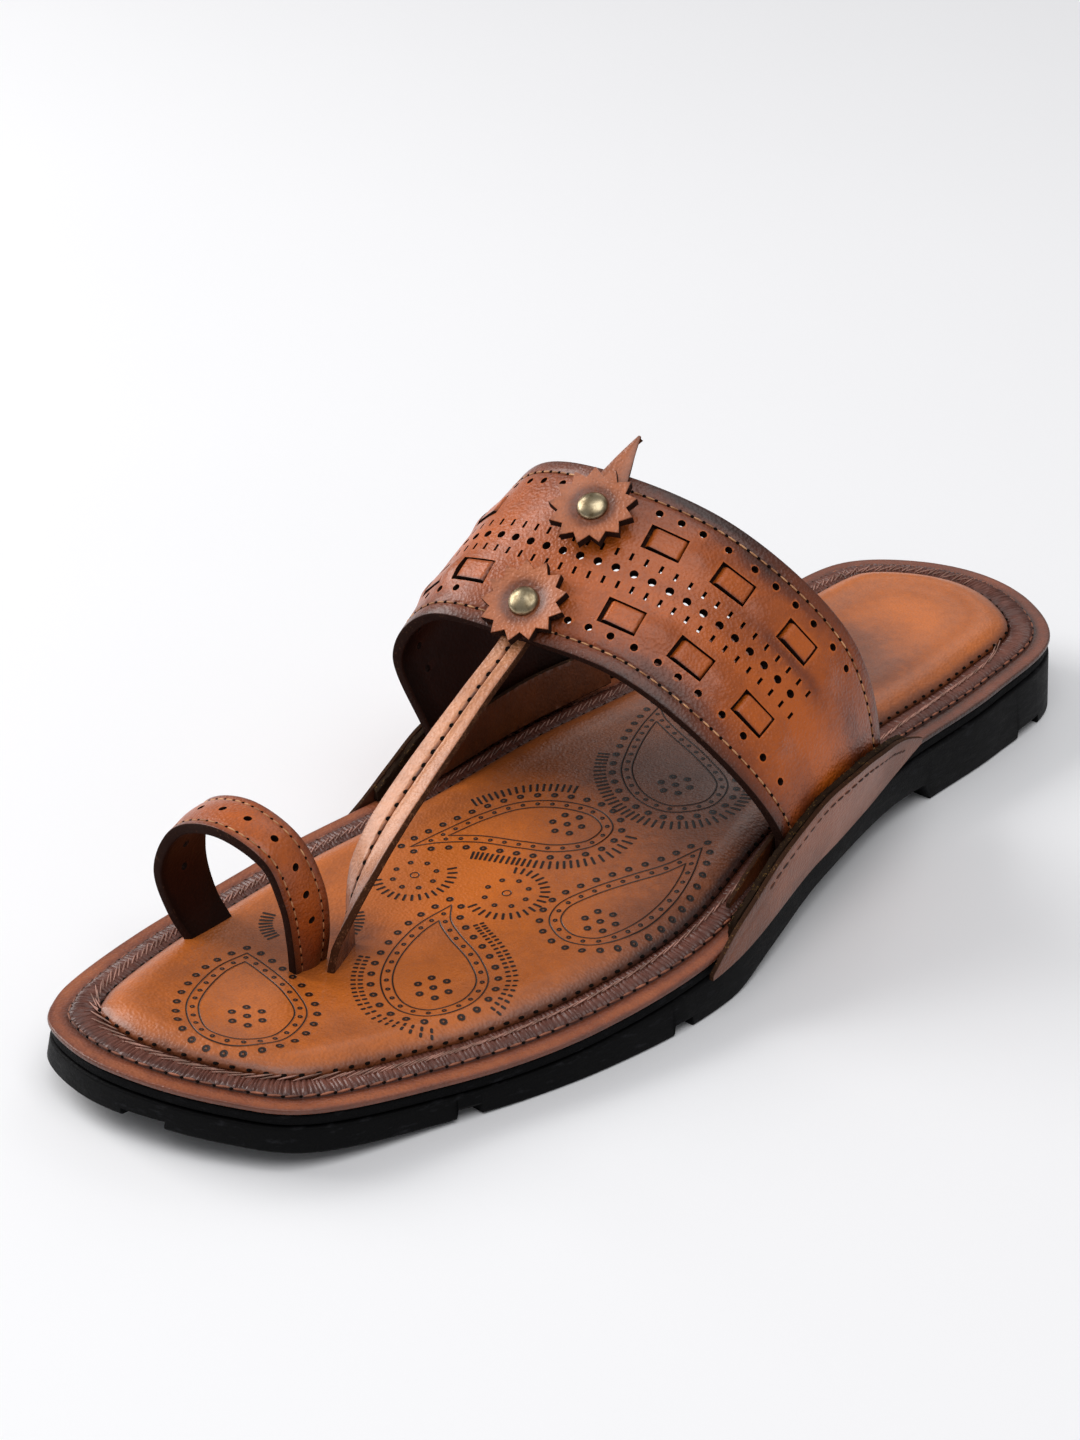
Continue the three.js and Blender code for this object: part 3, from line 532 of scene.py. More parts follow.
def outline(outward, count=720):
    """The footbed's closed outline, moved outwards by a distance."""
    heel = np.stack([HEEL_END["across"] * HEEL_WIDTH, y_at(HEEL_END["along"])], 1)
    half = [OUTLINE[side] * OUTLINE["width"] for side in ("medial", "lateral")]
    medial = np.stack([-half[0], y_at(OUTLINE["along"])], 1)
    lateral = np.stack([half[1], y_at(OUTLINE["along"])], 1)
    toe = np.stack([TOE_CORNERS["across"] * BALL_WIDTH, y_at(TOE_CORNERS["along"])], 1)
    curve = spline(np.vstack([heel, medial, toe, lateral[::-1]]), closed=True)
    samples = curve(np.arange(count) / count)
    run = unit(np.roll(samples, -1, 0) - np.roll(samples, 1, 0))
    return samples + np.stack([run[:, 1], -run[:, 0]], 1) * outward


def limits(edge, y):
    """Medial and lateral limits of an outline at each y."""
    a, b = edge, np.roll(edge, -1, 0)
    y = np.asarray(y, float)[:, None]
    rise = np.where(a[:, 1] == b[:, 1], 1e-9, b[:, 1] - a[:, 1])
    crossed = (a[:, 1] - y) * (b[:, 1] - y) <= 0
    x = a[:, 0] + (b[:, 0] - a[:, 0]) * (y - a[:, 1]) / rise
    return np.where(crossed, x, np.inf).min(1), np.where(crossed, x, -np.inf).max(1)


def inset(edge, x, y):
    """Distance from each point to an outline."""
    points = np.stack([np.ravel(x), np.ravel(y)], 1)[:, None]
    a, run = edge, np.roll(edge, -1, 0) - edge
    share = ((points - a) * run).sum(2) / (run**2).sum(1)
    nearest = a + run * np.clip(share, 0, 1)[..., None]
    return np.linalg.norm(points - nearest, axis=2).min(1).reshape(np.shape(x))


low_corner, high_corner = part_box("outsole")
flared = outline(SOLE_FLARE)
SHIFT = np.append(
    np.array((low_corner + high_corner)[:2]) / 2 / MM - (flared.min(0) + flared.max(0)) / 2, 0
)


def over_rim(rows, width, height):
    """A table's rows as points, their heights measured from the rim's top."""
    along = rows["along"]
    return np.stack([rows["across"] * width, y_at(along), rim_top(along) + rows["up"] * height], 1)


def flap_height(rows, along, share):
    """Height on a flap between its low and its high edge."""
    rise = mix(column(rows, "low")(along), column(rows, "high")(along), share)
    return outsole_top(along) + GAP + rise * FLAP_HEIGHT


FOOTBED = outline(0)


def flap_point(side, rows, along, height, depth):
    """A point of a flap at a height, its depth measured inwards from the outer face."""
    along = np.asarray(along, float)
    shape = np.broadcast_shapes(along.shape, np.shape(height))
    along = np.broadcast_to(along, shape)
    y = y_at(along)
    edge = limits(FOOTBED, y.ravel())[1 if side > 0 else 0].reshape(shape)
    rise = (height - outsole_top(along)) / FLAP_HEIGHT
    lean = column(rows, "lean")(along) * FLAP_HEIGHT * rise
    x = edge + side * (FLAP_STAND_OFF + lean - depth)
    return np.stack([x, y, np.broadcast_to(height, shape)], -1)


def band_edge(middle, name):
    """One edge of the band, from its end in the medial flap to the one in the lateral flap."""
    def tail(flap):
        along, share = flap["ends"][name], flap["ends"]["share"]
        base = rim_top(along) + TAIL_BASE
        height = mix(base, flap_height(flap["rows"], along, 1), share)
        return flap_point(flap["side"], flap["rows"], along, height, BAND_DEPTH)

    points = [tail(FLAPS["medial"]), over_rim(middle, INSTEP_WIDTH, INSTEP_HEIGHT), tail(FLAPS["lateral"])]
    return spline(np.vstack(points))


band_front = band_edge(BAND_FRONT_EDGE, "front")
band_rear = band_edge(BAND_REAR_EDGE, "rear")


def band(run, across):
    """The band's outer face, slightly crowned between its edges."""
    run = np.clip(run, 0, 1)
    front, rear = band_front(run), band_rear(run)
    ahead = band_front(np.minimum(1, run + 0.01)) - band_front(np.maximum(0, run - 0.01))
    out = -unit(np.cross(rear - front, ahead))
    free = np.sin(np.pi * run) ** 0.5
    across = np.asarray(across, float)
    crown = 4 * BAND_CROWN * free * across * (1 - across)
    return mix(front, rear, across[..., None]) + out * crown[..., None]


loop_front = spline(over_rim(LOOP_FRONT_EDGE, BALL_WIDTH, LOOP_HEIGHT))
loop_rear = spline(over_rim(LOOP_REAR_EDGE, BALL_WIDTH, LOOP_HEIGHT))


def loop(run, across):
    """The toe loop's outer face."""
    return mix(loop_front(run), loop_rear(run), np.asarray(across, float)[..., None])


def frames(surface, run, across):
    """Place, direction along the run and outward normal on a surface."""
    near = SURFACE_STEP
    run, across = np.broadcast_arrays(np.asarray(run, float), np.asarray(across, float))
    along = surface(np.minimum(1, run + near), across) - surface(np.maximum(0, run - near), across)
    over = surface(run, across + near) - surface(run, across - near)
    return surface(run, across), unit(along), unit(np.cross(along, over))


def strap_rows():
    """Places and turns of the centre strap, from its lap under the band to its foot."""
    tucked = []
    for across in (STRAP_LAP["rear"], RIVETS["front"][1], STRAP_LAP["front"]):
        place, _, out = frames(band, RIVETS["front"][0], across)
        tucked.append(place - out * (BAND_THICKNESS - JOIN))
    places = np.vstack([tucked, over_rim(STRAP, BALL_WIDTH, INSTEP_HEIGHT)])
    return places, np.radians(np.concatenate([[0, 0, 0], STRAP["turn"]]))


strap_places, strap_turns = strap_rows()
strap_line = spline(strap_places)


def centre_strap(run, across):
    """The centre strap's outer face, from under the band down to the pad."""
    width = np.interp(run, STRAP_FACE["run"], STRAP_FACE["wide"])
    run = np.clip(run, 0, 1)
    turn = np.interp(run * (len(strap_turns) - 1), np.arange(len(strap_turns)), strap_turns)[..., None]
    before, after = np.maximum(0, run - SURFACE_STEP), np.minimum(1, run + SURFACE_STEP)
    ahead = unit(strap_line(after) - strap_line(before))
    side = unit(np.array([1.0, 0, 0]) - ahead * ahead[..., :1])
    turned = side * np.cos(turn) + np.cross(ahead, side) * np.sin(turn)
    return strap_line(run) + turned * ((np.asarray(across, float) - 0.5) * width)[..., None]


def flap_face(name, depth, start, end, on_rim=None, lowered=0):
    """A flap's ply as a surface: run from heel to toe, across from its low to its high edge."""
    side, rows = FLAPS[name]["side"], FLAPS[name]["rows"]

    def surface(run, across):
        along = mix(start, end, np.clip(run, 0, 1))
        low = flap_height(rows, along, 0) if on_rim is None else rim_top(along) + on_rim
        high = np.maximum(low + GAP, flap_height(rows, along, 1) - lowered)
        return flap_point(side, rows, along, mix(low, high, across), depth)

    return surface


def pad_height(x, y, edge):
    """Height of the pad: puffed along its edge, with a soft trough inside that."""
    away = inset(edge, x, y)
    depth = np.minimum(1, away / PAD_ROUNDING)
    crown = PAD_EDGE + (PAD_RISE - PAD_EDGE) * np.sqrt(1 - (1 - depth) ** 2)
    ridge = 0.5 * bell(away, 5.5, 2.6) - 0.22 * bell(away, 12, 3)
    return rim_top(along_at(np.asarray(y))) + crown + ridge


def seat(obj, slot, *node_names):
    """Seats a finished piece on the frame, in the place of the part's nodes."""
    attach(obj, "root")
    if node_names:
        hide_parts(*node_names)


def make(name, points, faces, finishes, kinds=None, smooth=35, marks=None):
    """A mesh object in the part's frame, from points in millimetres and the names of its finishes."""
    mesh = bpy.data.meshes.new(name)
    mesh.from_pydata(((np.asarray(points) + SHIFT) * MM).tolist(), [], [list(f) for f in faces])
    for finish in finishes:
        mesh.materials.append(finish_of(finish))
    if kinds is not None:
        mesh.polygons.foreach_set("material_index", np.asarray(kinds, np.int32))
    for key, values in (marks or {}).items():
        values = np.asarray(values, np.float32)
        kind = "FLOAT_VECTOR" if values.ndim == 2 else "FLOAT"
        field = "vector" if values.ndim == 2 else "value"
        mesh.attributes.new(key, kind, "POINT").data.foreach_set(field, values.ravel())
    if faces:
        shape = bmesh.new()
        shape.from_mesh(mesh)
        bmesh.ops.recalc_face_normals(shape, faces=shape.faces)
        shape.to_mesh(mesh)
        shape.free()
        mesh.shade_smooth()
        mesh.set_sharp_from_angle(angle=math.radians(smooth))
    obj = bpy.data.objects.new(name, mesh)
    bpy.context.scene.collection.objects.link(obj)
    return obj


def grid_faces(rows, columns, start=0, closed=False, looped=False):
    """Faces of a grid of points: closed joins each row into a ring, looped the last row to the first."""
    i, j = np.meshgrid(np.arange(rows - (not looped)), np.arange(columns - (not closed)), indexing="ij")
    below, k = (i + 1) % rows, (j + 1) % columns
    corners = (i * columns + j, below * columns + j, below * columns + k, i * columns + k)
    return (start + np.stack([c.ravel() for c in corners], 1)).tolist()


def grid_edge(rows, columns):
    """The points round the edge of a grid, in order."""
    last = (rows - 1) * columns
    ring = [i * columns for i in range(rows)] + [last + j for j in range(1, columns)]
    back = [i * columns + columns - 1 for i in range(rows - 2, -1, -1)]
    return ring + back + list(range(columns - 2, 0, -1))


def walls(ring, start, size):
    """Faces from a ring of one grid to the same ring of the next."""
    pairs = zip(ring, ring[1:] + ring[:1])
    return [[start + a, start + b, start + size + b, start + size + a] for a, b in pairs]


def sole_layer(name, low_edge, high_edge, low, high, finishes, rounding, steps=(), burnish_and_shading=None):
    """A layer of the sole from its two outlines and two heights, with softened edges."""
    start, end = along_at(low_edge[:, 1].max()), along_at(low_edge[:, 1].min())
    count = 150
    even = mix(start, end, (1 - np.cos(np.pi * (np.arange(count) + 0.5) / count)) / 2)
    clear = [a for a in even if all(abs(step - a) > 0.6 / LENGTH for step in steps)]
    places = np.sort(np.concatenate([clear, steps]))
    near = np.array([0, 0.12, 0.35, 0.7, 1.2, 2, 3.2, 4.8, 6.6, 9])
    middle = np.linspace(0, 1, 15)[1:-1]
    grids, marks = [], []
    for edge, height, up in ((high_edge, high, 1), (low_edge, low, -1)):
        first, last = along_at(edge[:, 1].max()), along_at(edge[:, 1].min())
        along = mix(first, last, (places - start) / (end - start))
        medial, lateral = limits(edge, y_at(along))
        fit = np.minimum(1, (lateral - medial) / 24)[:, None]
        left, right = medial[:, None] + near * fit, lateral[:, None] - near[::-1] * fit
        between = mix(left[:, -1:], right[:, :1], middle)
        x = np.hstack([left, between, right])
        along = np.broadcast_to(along[:, None], x.shape)
        y = y_at(along)
        away = inset(edge, x, y)
        fillet = rounding - np.sqrt(np.maximum(0, rounding**2 - np.maximum(0, rounding - away) ** 2))
        grids.append(np.stack([x, y, height(along, x, y) - up * fillet], -1))
        marks.append(away)
    rows, columns = grids[0].shape[:2]
    size = rows * columns
    faces = grid_faces(rows, columns) + grid_faces(rows, columns, size)
    faces += walls(grid_edge(rows, columns), 0, size)
    points = np.vstack([g.reshape(-1, 3) for g in grids])
    dark = np.concatenate([m.ravel() for m in marks])
    values = burnish_and_shading(points, dark) if burnish_and_shading else np.zeros(len(points))
    return make(name, points, faces, finishes, marks={"burnish_and_shading": values})


def section(width, thickness, rounding, near, count):
    """Places round a strap's section: how far across its face, how deep under it, and what shows there."""
    turn = np.linspace(0, np.pi / 2, 4)[1:]
    near = np.array([n for n in near if n > rounding])
    half = np.concatenate([[rounding], near])
    half = half[half < width / 2]
    middle = np.linspace(half[-1], width - half[-1], count)[1:-1]
    face = np.concatenate([half, middle, width - half[::-1]])
    edge_across = width - rounding + rounding * np.sin(turn)
    edge_depth = rounding * (1 - np.cos(turn))
    under = np.linspace(width - rounding, rounding, 9)
    other, rest = width - edge_across, thickness - edge_depth
    across = np.concatenate([face, edge_across, edge_across[::-1], under, other, other[::-1]])
    flat, lower = np.zeros(len(face)), np.full(len(under), thickness)
    depth = np.concatenate([flat, edge_depth, rest[::-1], lower, rest, edge_depth[::-1]])
    shown = (len(face), 2 * len(turn), len(under) - 1, 2 * len(turn), 1)
    return across, depth, np.repeat((0, 1, 2, 1, 0), shown)


def strip(
    name, surface, thickness, finishes, runs, near, count, rounding,
    relief=None, burnish_and_shading=None, flip=1, smooth=50,
):
    """A strap or ply with real thickness along a surface, its raw edges and lining as their own materials."""
    rows = []
    for run in runs:
        ends = surface(np.array([run, run]), np.array([0.0, 1.0]))
        width = float(np.linalg.norm(ends[1] - ends[0]))
        radius = min(rounding, width / 2.2)
        wide, tall, kinds = section(max(width, 0.4), thickness, radius, near, count)
        rows.append((run, width, wide, tall, kinds))
    columns = min(len(r[2]) for r in rows)
    rows = [r for r in rows if len(r[2]) == columns]
    run = np.array([r[0] for r in rows])[:, None] * np.ones(columns)
    width = np.array([r[1] for r in rows])[:, None]
    wide, tall = np.array([r[2] for r in rows]), np.array([r[3] for r in rows])
    place, _, out = frames(surface, run, wide / width)
    out = out * flip
    lift = relief(run, wide, width) if relief else 0
    face = np.clip(1 - tall / thickness, 0, 1)
    points = place + out * (lift * face - tall)[..., None]
    count_rows = len(rows)
    faces = grid_faces(count_rows, columns, closed=True)
    kinds = np.tile(rows[0][4], count_rows - 1)
    for row in (0, count_rows - 1):
        faces.append([row * columns + j for j in range(columns)])
        kinds = np.append(kinds, 1)
    values = burnish_and_shading(run, wide, width) if burnish_and_shading else np.zeros_like(run)
    marks = {"burnish_and_shading": np.asarray(values).ravel()}
    return make(name, points.reshape(-1, 3), faces, finishes, kinds, smooth, marks)


def row_places(surface, distance, pitch, start=0.0, end=1.0, from_rear=False):
    """Runs at an even pitch along a row at a distance from one edge, with its share across."""
    runs = np.linspace(start, end, 600)
    ends = surface(runs, np.zeros(600)), surface(runs, np.ones(600))
    width = np.linalg.norm(ends[1] - ends[0], axis=1)
    share = np.clip(distance / width, 0, 1)
    share = 1 - share if from_rear else share
    points = surface(runs, share)
    travel = travelled(points)
    stops = np.arange(pitch / 2, travel[-1], pitch)
    return np.interp(stops, travel, runs), np.interp(stops, travel, share)


def even_points(points, pitch, closed=True):
    """Points at an even pitch along a line, with their directions."""
    line = np.vstack([points, points[:1]]) if closed else np.asarray(points)
    travel = travelled(line)
    count = max(2, round(travel[-1] / pitch))
    stops = np.arange(count) * travel[-1] / count if closed else np.linspace(0, travel[-1], count)

    def at(stops):
        return np.stack([np.interp(stops, travel, values) for values in line.T], 1)

    ahead, behind = np.minimum(stops + 0.4, travel[-1]), np.maximum(stops - 0.4, 0)
    return at(stops), unit(at(ahead) - at(behind))


# Node trees


class Tree:
    """A node tree under construction: a new one of a kind, or one that exists."""

    def __init__(self, name, kind=None, tree=None):
        self.tree = tree or bpy.data.node_groups.new(name, kind)

    def sockets(self, way, **kinds):
        """Adds named sockets, each given as its kind or as its kind and its default."""
        for name, kind in kinds.items():
            kind, *default = (kind,) if isinstance(kind, str) else kind
            made = self.tree.interface.new_socket(name, in_out=way, socket_type="NodeSocket" + kind)
            if default:
                made.default_value = default[0]

    def node(self, kind, inputs=None, **settings):
        made = self.tree.nodes.new(kind)
        for key, value in settings.items():
            setattr(made, key, value)
        for key, value in (inputs or {}).items():
            if isinstance(value, bpy.types.NodeSocket):
                self.tree.links.new(value, made.inputs[key])
            else:
                made.inputs[key].default_value = value
        return made

    def given(self):
        return self.node("NodeGroupInput").outputs

    def place(self):
        return self.node("ShaderNodeTexCoord").outputs["Object"]

    def own(self, name):
        """A material's read of one of the mesh's own attributes."""
        return self.node("ShaderNodeAttribute", attribute_name=name).outputs["Fac"]

    def named(self, name, kind):
        """A geometry tree's read of one of the mesh's own attributes."""
        return self.node("GeometryNodeInputNamedAttribute", {0: name}, data_type=kind).outputs[0]

    def math(self, operation, a, b=0.0):
        return self.node("ShaderNodeMath", {0: a, 1: b}, operation=operation).outputs[0]

    def times(self, a, b):
        return self.math("MULTIPLY", a, b)

    def plus(self, a, b):
        return self.math("ADD", a, b)

    def less(self, a, b):
        return self.math("SUBTRACT", a, b)

    def vector(self, x=0.0, y=0.0, z=0.0):
        return self.node("ShaderNodeCombineXYZ", {0: x, 1: y, 2: z}).outputs[0]

    def blend(self, share, a, b):
        return self.node("ShaderNodeMix", {0: share, 6: a, 7: b}, data_type="RGBA").outputs[2]

    def noise(self, vector, scale, detail=4.0, rough=0.55):
        inputs = {"Vector": vector, "Scale": scale, "Detail": detail, "Roughness": rough}
        return self.node("ShaderNodeTexNoise", inputs).outputs[0]

    def fit(self, value, low, high, new_low=0.0, new_high=1.0):
        inputs = {0: value, 1: low, 2: high, 3: new_low, 4: new_high}
        return self.node("ShaderNodeMapRange", inputs).outputs[0]

    def finish(self, shape, material):
        """Ends a geometry tree with real geometry in its material."""
        real = self.node("GeometryNodeRealizeInstances", {0: shape}).outputs[0]
        soft = self.node("GeometryNodeSetShadeSmooth", {0: real}).outputs[0]
        done = self.node("GeometryNodeSetMaterial", {0: soft, "Material": material}).outputs[0]
        self.node("NodeGroupOutput", {0: done})
        return self.tree


def rgb(text):
    """A linear colour from its six-figure form."""
    values = [int(text[i : i + 2], 16) / 255 for i in (0, 2, 4)]
    return (*[v / 12.92 if v <= 0.04045 else ((v + 0.055) / 1.055) ** 2.4 for v in values], 1)


def repeat_tree():
    """Small rounded forms set on the points of a row, turned to its run and its surface."""
    t = Tree("Row of small forms", "GeometryNodeTree")
    sizes = {"Length": ("Float", 0.003), "Width": ("Float", 0.0006), "Height": ("Float", 0.0005)}
    t.sockets(
        "INPUT", Geometry="Geometry", **sizes, Unevenness=("Float", 0.1), Seed=("Int", 1), Material="Material"
    )
    t.sockets("OUTPUT", Geometry="Geometry")
    given = t.given()
    turn = t.node(
        "FunctionNodeAxesToRotation", {0: t.named("up", "FLOAT_VECTOR"), 1: t.named("run", "FLOAT_VECTOR")},
        primary_axis="Z", secondary_axis="X",
    ).outputs[0]
    low, high = t.less(1.0, given["Unevenness"]), t.plus(1.0, given["Unevenness"])
    draw = t.node("FunctionNodeRandomValue", {2: low, 3: high, "Seed": given["Seed"]}, data_type="FLOAT")
    size = t.vector(t.times(given["Length"], draw.outputs[1]), given["Width"], given["Height"])
    form = t.node("GeometryNodeMeshUVSphere", {"Segments": 8, "Rings": 6, "Radius": 0.5}).outputs["Mesh"]
    inputs = {"Points": given["Geometry"], "Instance": form, "Rotation": turn, "Scale": size}
    return t.finish(t.node("GeometryNodeInstanceOnPoints", inputs).outputs[0], given["Material"])


def pleat_tree():
    """Fine crimped pleats across a strip, from its length and across attributes."""
    t = Tree("Pleats across a strip", "GeometryNodeTree")
    sizes = {"Pitch": ("Float", 1.0), "Depth": ("Float", 0.0005), "Waver": ("Float", 1.5)}
    t.sockets("INPUT", Geometry="Geometry", **sizes, Seed=("Float", 3.0), Material="Material")
    t.sockets("OUTPUT", Geometry="Geometry")
    given = t.given()
    length, across = t.named("length", "FLOAT"), t.named("across", "FLOAT")
    where = t.vector(length, t.times(across, 2.2), given["Seed"])
    slow, fast = t.noise(where, 0.35, 2.0), t.noise(where, 1.3, 3.0)
    bent = t.times(t.less(slow, 0.5), t.times(given["Waver"], 4.0))
    turns = t.plus(t.math("DIVIDE", length, given["Pitch"]), bent)
    wave = t.math("ABSOLUTE", t.math("SINE", t.times(turns, math.pi)))
    edge = t.times(t.times(across, t.less(1.0, across)), 4.0)
    fade = t.math("POWER", t.math("MAXIMUM", edge, 0.0), 0.35)
    height = t.times(t.times(wave, fast), t.times(fade, given["Depth"]))
    inputs = {0: given["Geometry"], "Offset": t.vector(z=t.times(height, 2.0))}
    return t.finish(t.node("GeometryNodeSetPosition", inputs).outputs[0], given["Material"])


def grown(obj, tree, **inputs):
    """Runs a node tree on an object and leaves the result as its plain mesh."""
    modifier = obj.modifiers.new("grow", "NODES")
    modifier.node_group = tree
    for item in tree.interface.items_tree:
        if item.item_type == "SOCKET" and item.in_out == "INPUT" and item.name in inputs:
            modifier[item.identifier] = inputs[item.name]
    return applied(obj)


def applied(obj):
    """Makes an object's evaluated mesh its own and takes its modifiers off."""
    obj.update_tag()
    bpy.context.view_layer.update()
    evaluated = obj.evaluated_get(bpy.context.evaluated_depsgraph_get())
    mesh = bpy.data.meshes.new_from_object(evaluated)
    obj.modifiers.clear()
    old = obj.data
    obj.data = mesh
    bpy.data.meshes.remove(old)
    return obj


def small_row(name, points, runs, ups, finish, length, width, height, unevenness, seed):
    """A row of stitches, pricks or dots as one mesh."""
    obj = make(name, points, [], (), marks={"run": runs, "up": ups})
    tree = bpy.data.node_groups.get("Row of small forms") or repeat_tree()
    return grown(
        obj, tree, Length=length * MM, Width=width * MM, Height=height * MM,
        Unevenness=unevenness, Seed=seed, Material=finish_of(finish),
    )


# Shared shader effects


def leather_effect():
    """Leather darkened by its burnish and by painted shade, lightened by painted highlight: tan to dark
    brown, with fine grain as height.
    """
    t = Tree("Burnished leather", "ShaderNodeTree")
    usual = {"Light": "c4703a", "Mid": "8d4d2b", "Dark": "3c2218"}
    tones = {name: ("Color", rgb(tone)) for name, tone in usual.items()}
    t.sockets("INPUT", Vector="Vector", Burnish=("Float", 0.0), **tones, Grain=("Float", 1500.0))
    t.sockets("OUTPUT", Color="Color", Roughness="Float", Height="Float")
    given = t.given()
    place = given["Vector"]
    swing = t.times(t.less(t.noise(place, 38.0, 3.0, 0.6), 0.5), 0.75)
    fine = t.times(t.less(t.noise(place, 420.0, 3.0, 0.6), 0.5), 0.35)
    # How dark the leather is: the mesh's burnish with its painted shade and painted highlight, plus random
    # swings of tone.
    darkness = t.plus(t.plus(given["Burnish"], swing), fine)
    warm = t.blend(t.fit(darkness, 0.0, 0.5), given["Light"], given["Mid"])
    color = t.blend(t.fit(darkness, 0.45, 1.05), warm, given["Dark"])
    grain = t.node("ShaderNodeTexVoronoi", {"Vector": place, "Scale": given["Grain"]}, feature="SMOOTH_F1")
    wrinkle = t.noise(place, 1500.0, 3.0, 0.6)
    height = t.plus(t.times(grain.outputs["Distance"], 0.8), t.times(wrinkle, 0.2))
    rough = t.fit(t.noise(place, 90.0), 0.3, 0.7, 0.36, 0.5)
    t.node("NodeGroupOutput", {"Color": color, "Roughness": rough, "Height": height})
    return t.tree


def fibre_effect():
    """Raw cut edges: dark, rough, with paler fibres."""
    t = Tree("Raw fibres", "ShaderNodeTree")
    tones = {"Dark": ("Color", rgb("1f1410")), "Pale": ("Color", rgb("7a5a3a"))}
    t.sockets("INPUT", Vector="Vector", **tones, Share=("Float", 0.6))
    t.sockets("OUTPUT", Color="Color", Height="Float")
    given = t.given()
    fuzz = t.noise(given["Vector"], 2400.0, 6.0, 0.75)
    clumps = t.noise(given["Vector"], 500.0, 4.0, 0.6)
    both = t.plus(t.times(fuzz, 0.65), t.times(clumps, 0.35))
    share = t.fit(both, given["Share"], t.plus(given["Share"], 0.12))
    color = t.blend(share, given["Dark"], given["Pale"])
    t.node("NodeGroupOutput", {"Color": color, "Height": both})
    return t.tree


def rubber_effect():
    """Black rubber with dull specks and fine scuffs."""
    t = Tree("Dull rubber", "ShaderNodeTree")
    t.sockets("INPUT", Vector="Vector", Roughness=("Float", 0.5))
    t.sockets("OUTPUT", Color="Color", Roughness="Float", Height="Float")
    given = t.given()
    stretched = t.node("ShaderNodeMapping", {"Vector": given["Vector"], "Scale": (1.0, 1.0, 3.5)}).outputs[0]
    scuff = t.noise(stretched, 180.0, 6.0, 0.7)
    grit = t.noise(given["Vector"], 1800.0, 4.0, 0.7)
    color = t.blend(t.fit(scuff, 0.56, 0.75), rgb("0a0a0b"), rgb("29292c"))
    rough = t.plus(given["Roughness"], t.fit(scuff, 0.3, 0.7, -0.08, 0.14))
    height = t.plus(t.times(scuff, 0.5), t.times(grit, 0.5))
    t.node("NodeGroupOutput", {"Color": color, "Roughness": rough, "Height": height})
    return t.tree


def effect(t, name, build, **inputs):
    """A shared effect in a material, on object coordinates."""
    tree = bpy.data.node_groups.get(name) or build()
    return t.node("ShaderNodeGroup", {"Vector": t.place(), **inputs}, node_tree=tree).outputs


def new_material(name, viewport):
    """An empty material and its tree."""
    material = bpy.data.materials.new(name)
    material.use_nodes = True
    material.diffuse_color = viewport
    material.node_tree.nodes.clear()
    return material, Tree(name, tree=material.node_tree)


def finish_material(t, inputs, height=None, distance=0.0001, strength=0.5):
    """Ends a material in its shader, with a height as bump."""
    if height is not None:
        bump = t.node("ShaderNodeBump", {"Height": height, "Distance": distance, "Strength": strength})
        inputs = {**inputs, "Normal": bump.outputs[0]}
    shader = t.node("ShaderNodeBsdfPrincipled", inputs)
    t.node("ShaderNodeOutputMaterial", {0: shader.outputs[0]})


def leather(
    name, light, mid, dark, grain=1500.0, bump=0.0005, strength=0.35, coat=0.12, shine=0.4, extra=None
):
    """Leather from its lightest, middle and darkest tone."""
    material, t = new_material(name, rgb(mid))
    group = effect(
        t, "Burnished leather", leather_effect, Burnish=t.own("burnish_and_shading"), Grain=grain,
        Light=rgb(light), Mid=rgb(mid), Dark=rgb(dark),
    )
    color, height = group["Color"], group["Height"]
    if extra:
        color, height, coat = extra(t, color, height, coat)
    inputs = {
        "Base Color": color, "Roughness": group["Roughness"], "Specular IOR Level": shine,
        "Coat Weight": coat, "Coat Roughness": 0.24,
    }
    finish_material(t, inputs, height, bump, strength)
    return material


def pressed(t, color, height, coat):
    """A line or dot pressed into the leather: dark in its middle, fading out at its sides."""
    press = t.own("press")
    ink = t.fit(press, 0.25, 0.6)
    color = t.blend(t.times(ink, 0.97), color, rgb("120a07"))
    height = t.less(t.times(height, 0.2), t.times(press, 1.6))
    return color, height, t.times(t.less(1.0, ink), coat)


def fibrous(name, dark, pale, share=0.6, bump=0.0004, roughness=0.9):
    """A raw edge with paler fibres."""
    material, t = new_material(name, rgb(dark))
    group = effect(t, "Raw fibres", fibre_effect, Dark=rgb(dark), Pale=rgb(pale), Share=share)
    inputs = {"Base Color": group["Color"], "Roughness": roughness, "Specular IOR Level": 0.1}
    finish_material(t, inputs, group["Height"], bump, 0.7)
    return material


def rubber(name, roughness, bump):
    """Scuffed black rubber."""
    material, t = new_material(name, rgb("151515"))
    group = effect(t, "Dull rubber", rubber_effect, Roughness=roughness)
    inputs = {"Base Color": group["Color"], "Roughness": group["Roughness"], "Specular IOR Level": 0.07}
    finish_material(t, inputs, group["Height"], bump, 0.6)
    return material


def thread(name, light, dark):
    """Twisted sewing thread."""
    material, t = new_material(name, rgb(light))
    place = t.place()
    twist, tone = t.noise(place, 3200.0, 3.0, 0.6), t.noise(place, 260.0, 2.0, 0.5)
    color = t.blend(t.fit(tone, 0.35, 0.65), rgb(light), rgb(dark))
    finish_material(t, {"Base Color": color, "Roughness": 0.6}, twist, 0.00015, 0.6)
    return material


def brass(name):
    """Aged brass."""
    material, t = new_material(name, rgb("8f7a55"))
    age = t.noise(t.place(), 520.0, 5.0, 0.65)
    color = t.blend(t.fit(age, 0.35, 0.7), rgb("b7a88a"), rgb("6b5b41"))
    rough = t.fit(age, 0.3, 0.7, 0.24, 0.42)
    finish_material(t, {"Base Color": color, "Metallic": 1.0, "Roughness": rough}, age, 0.00005, 0.3)
    return material


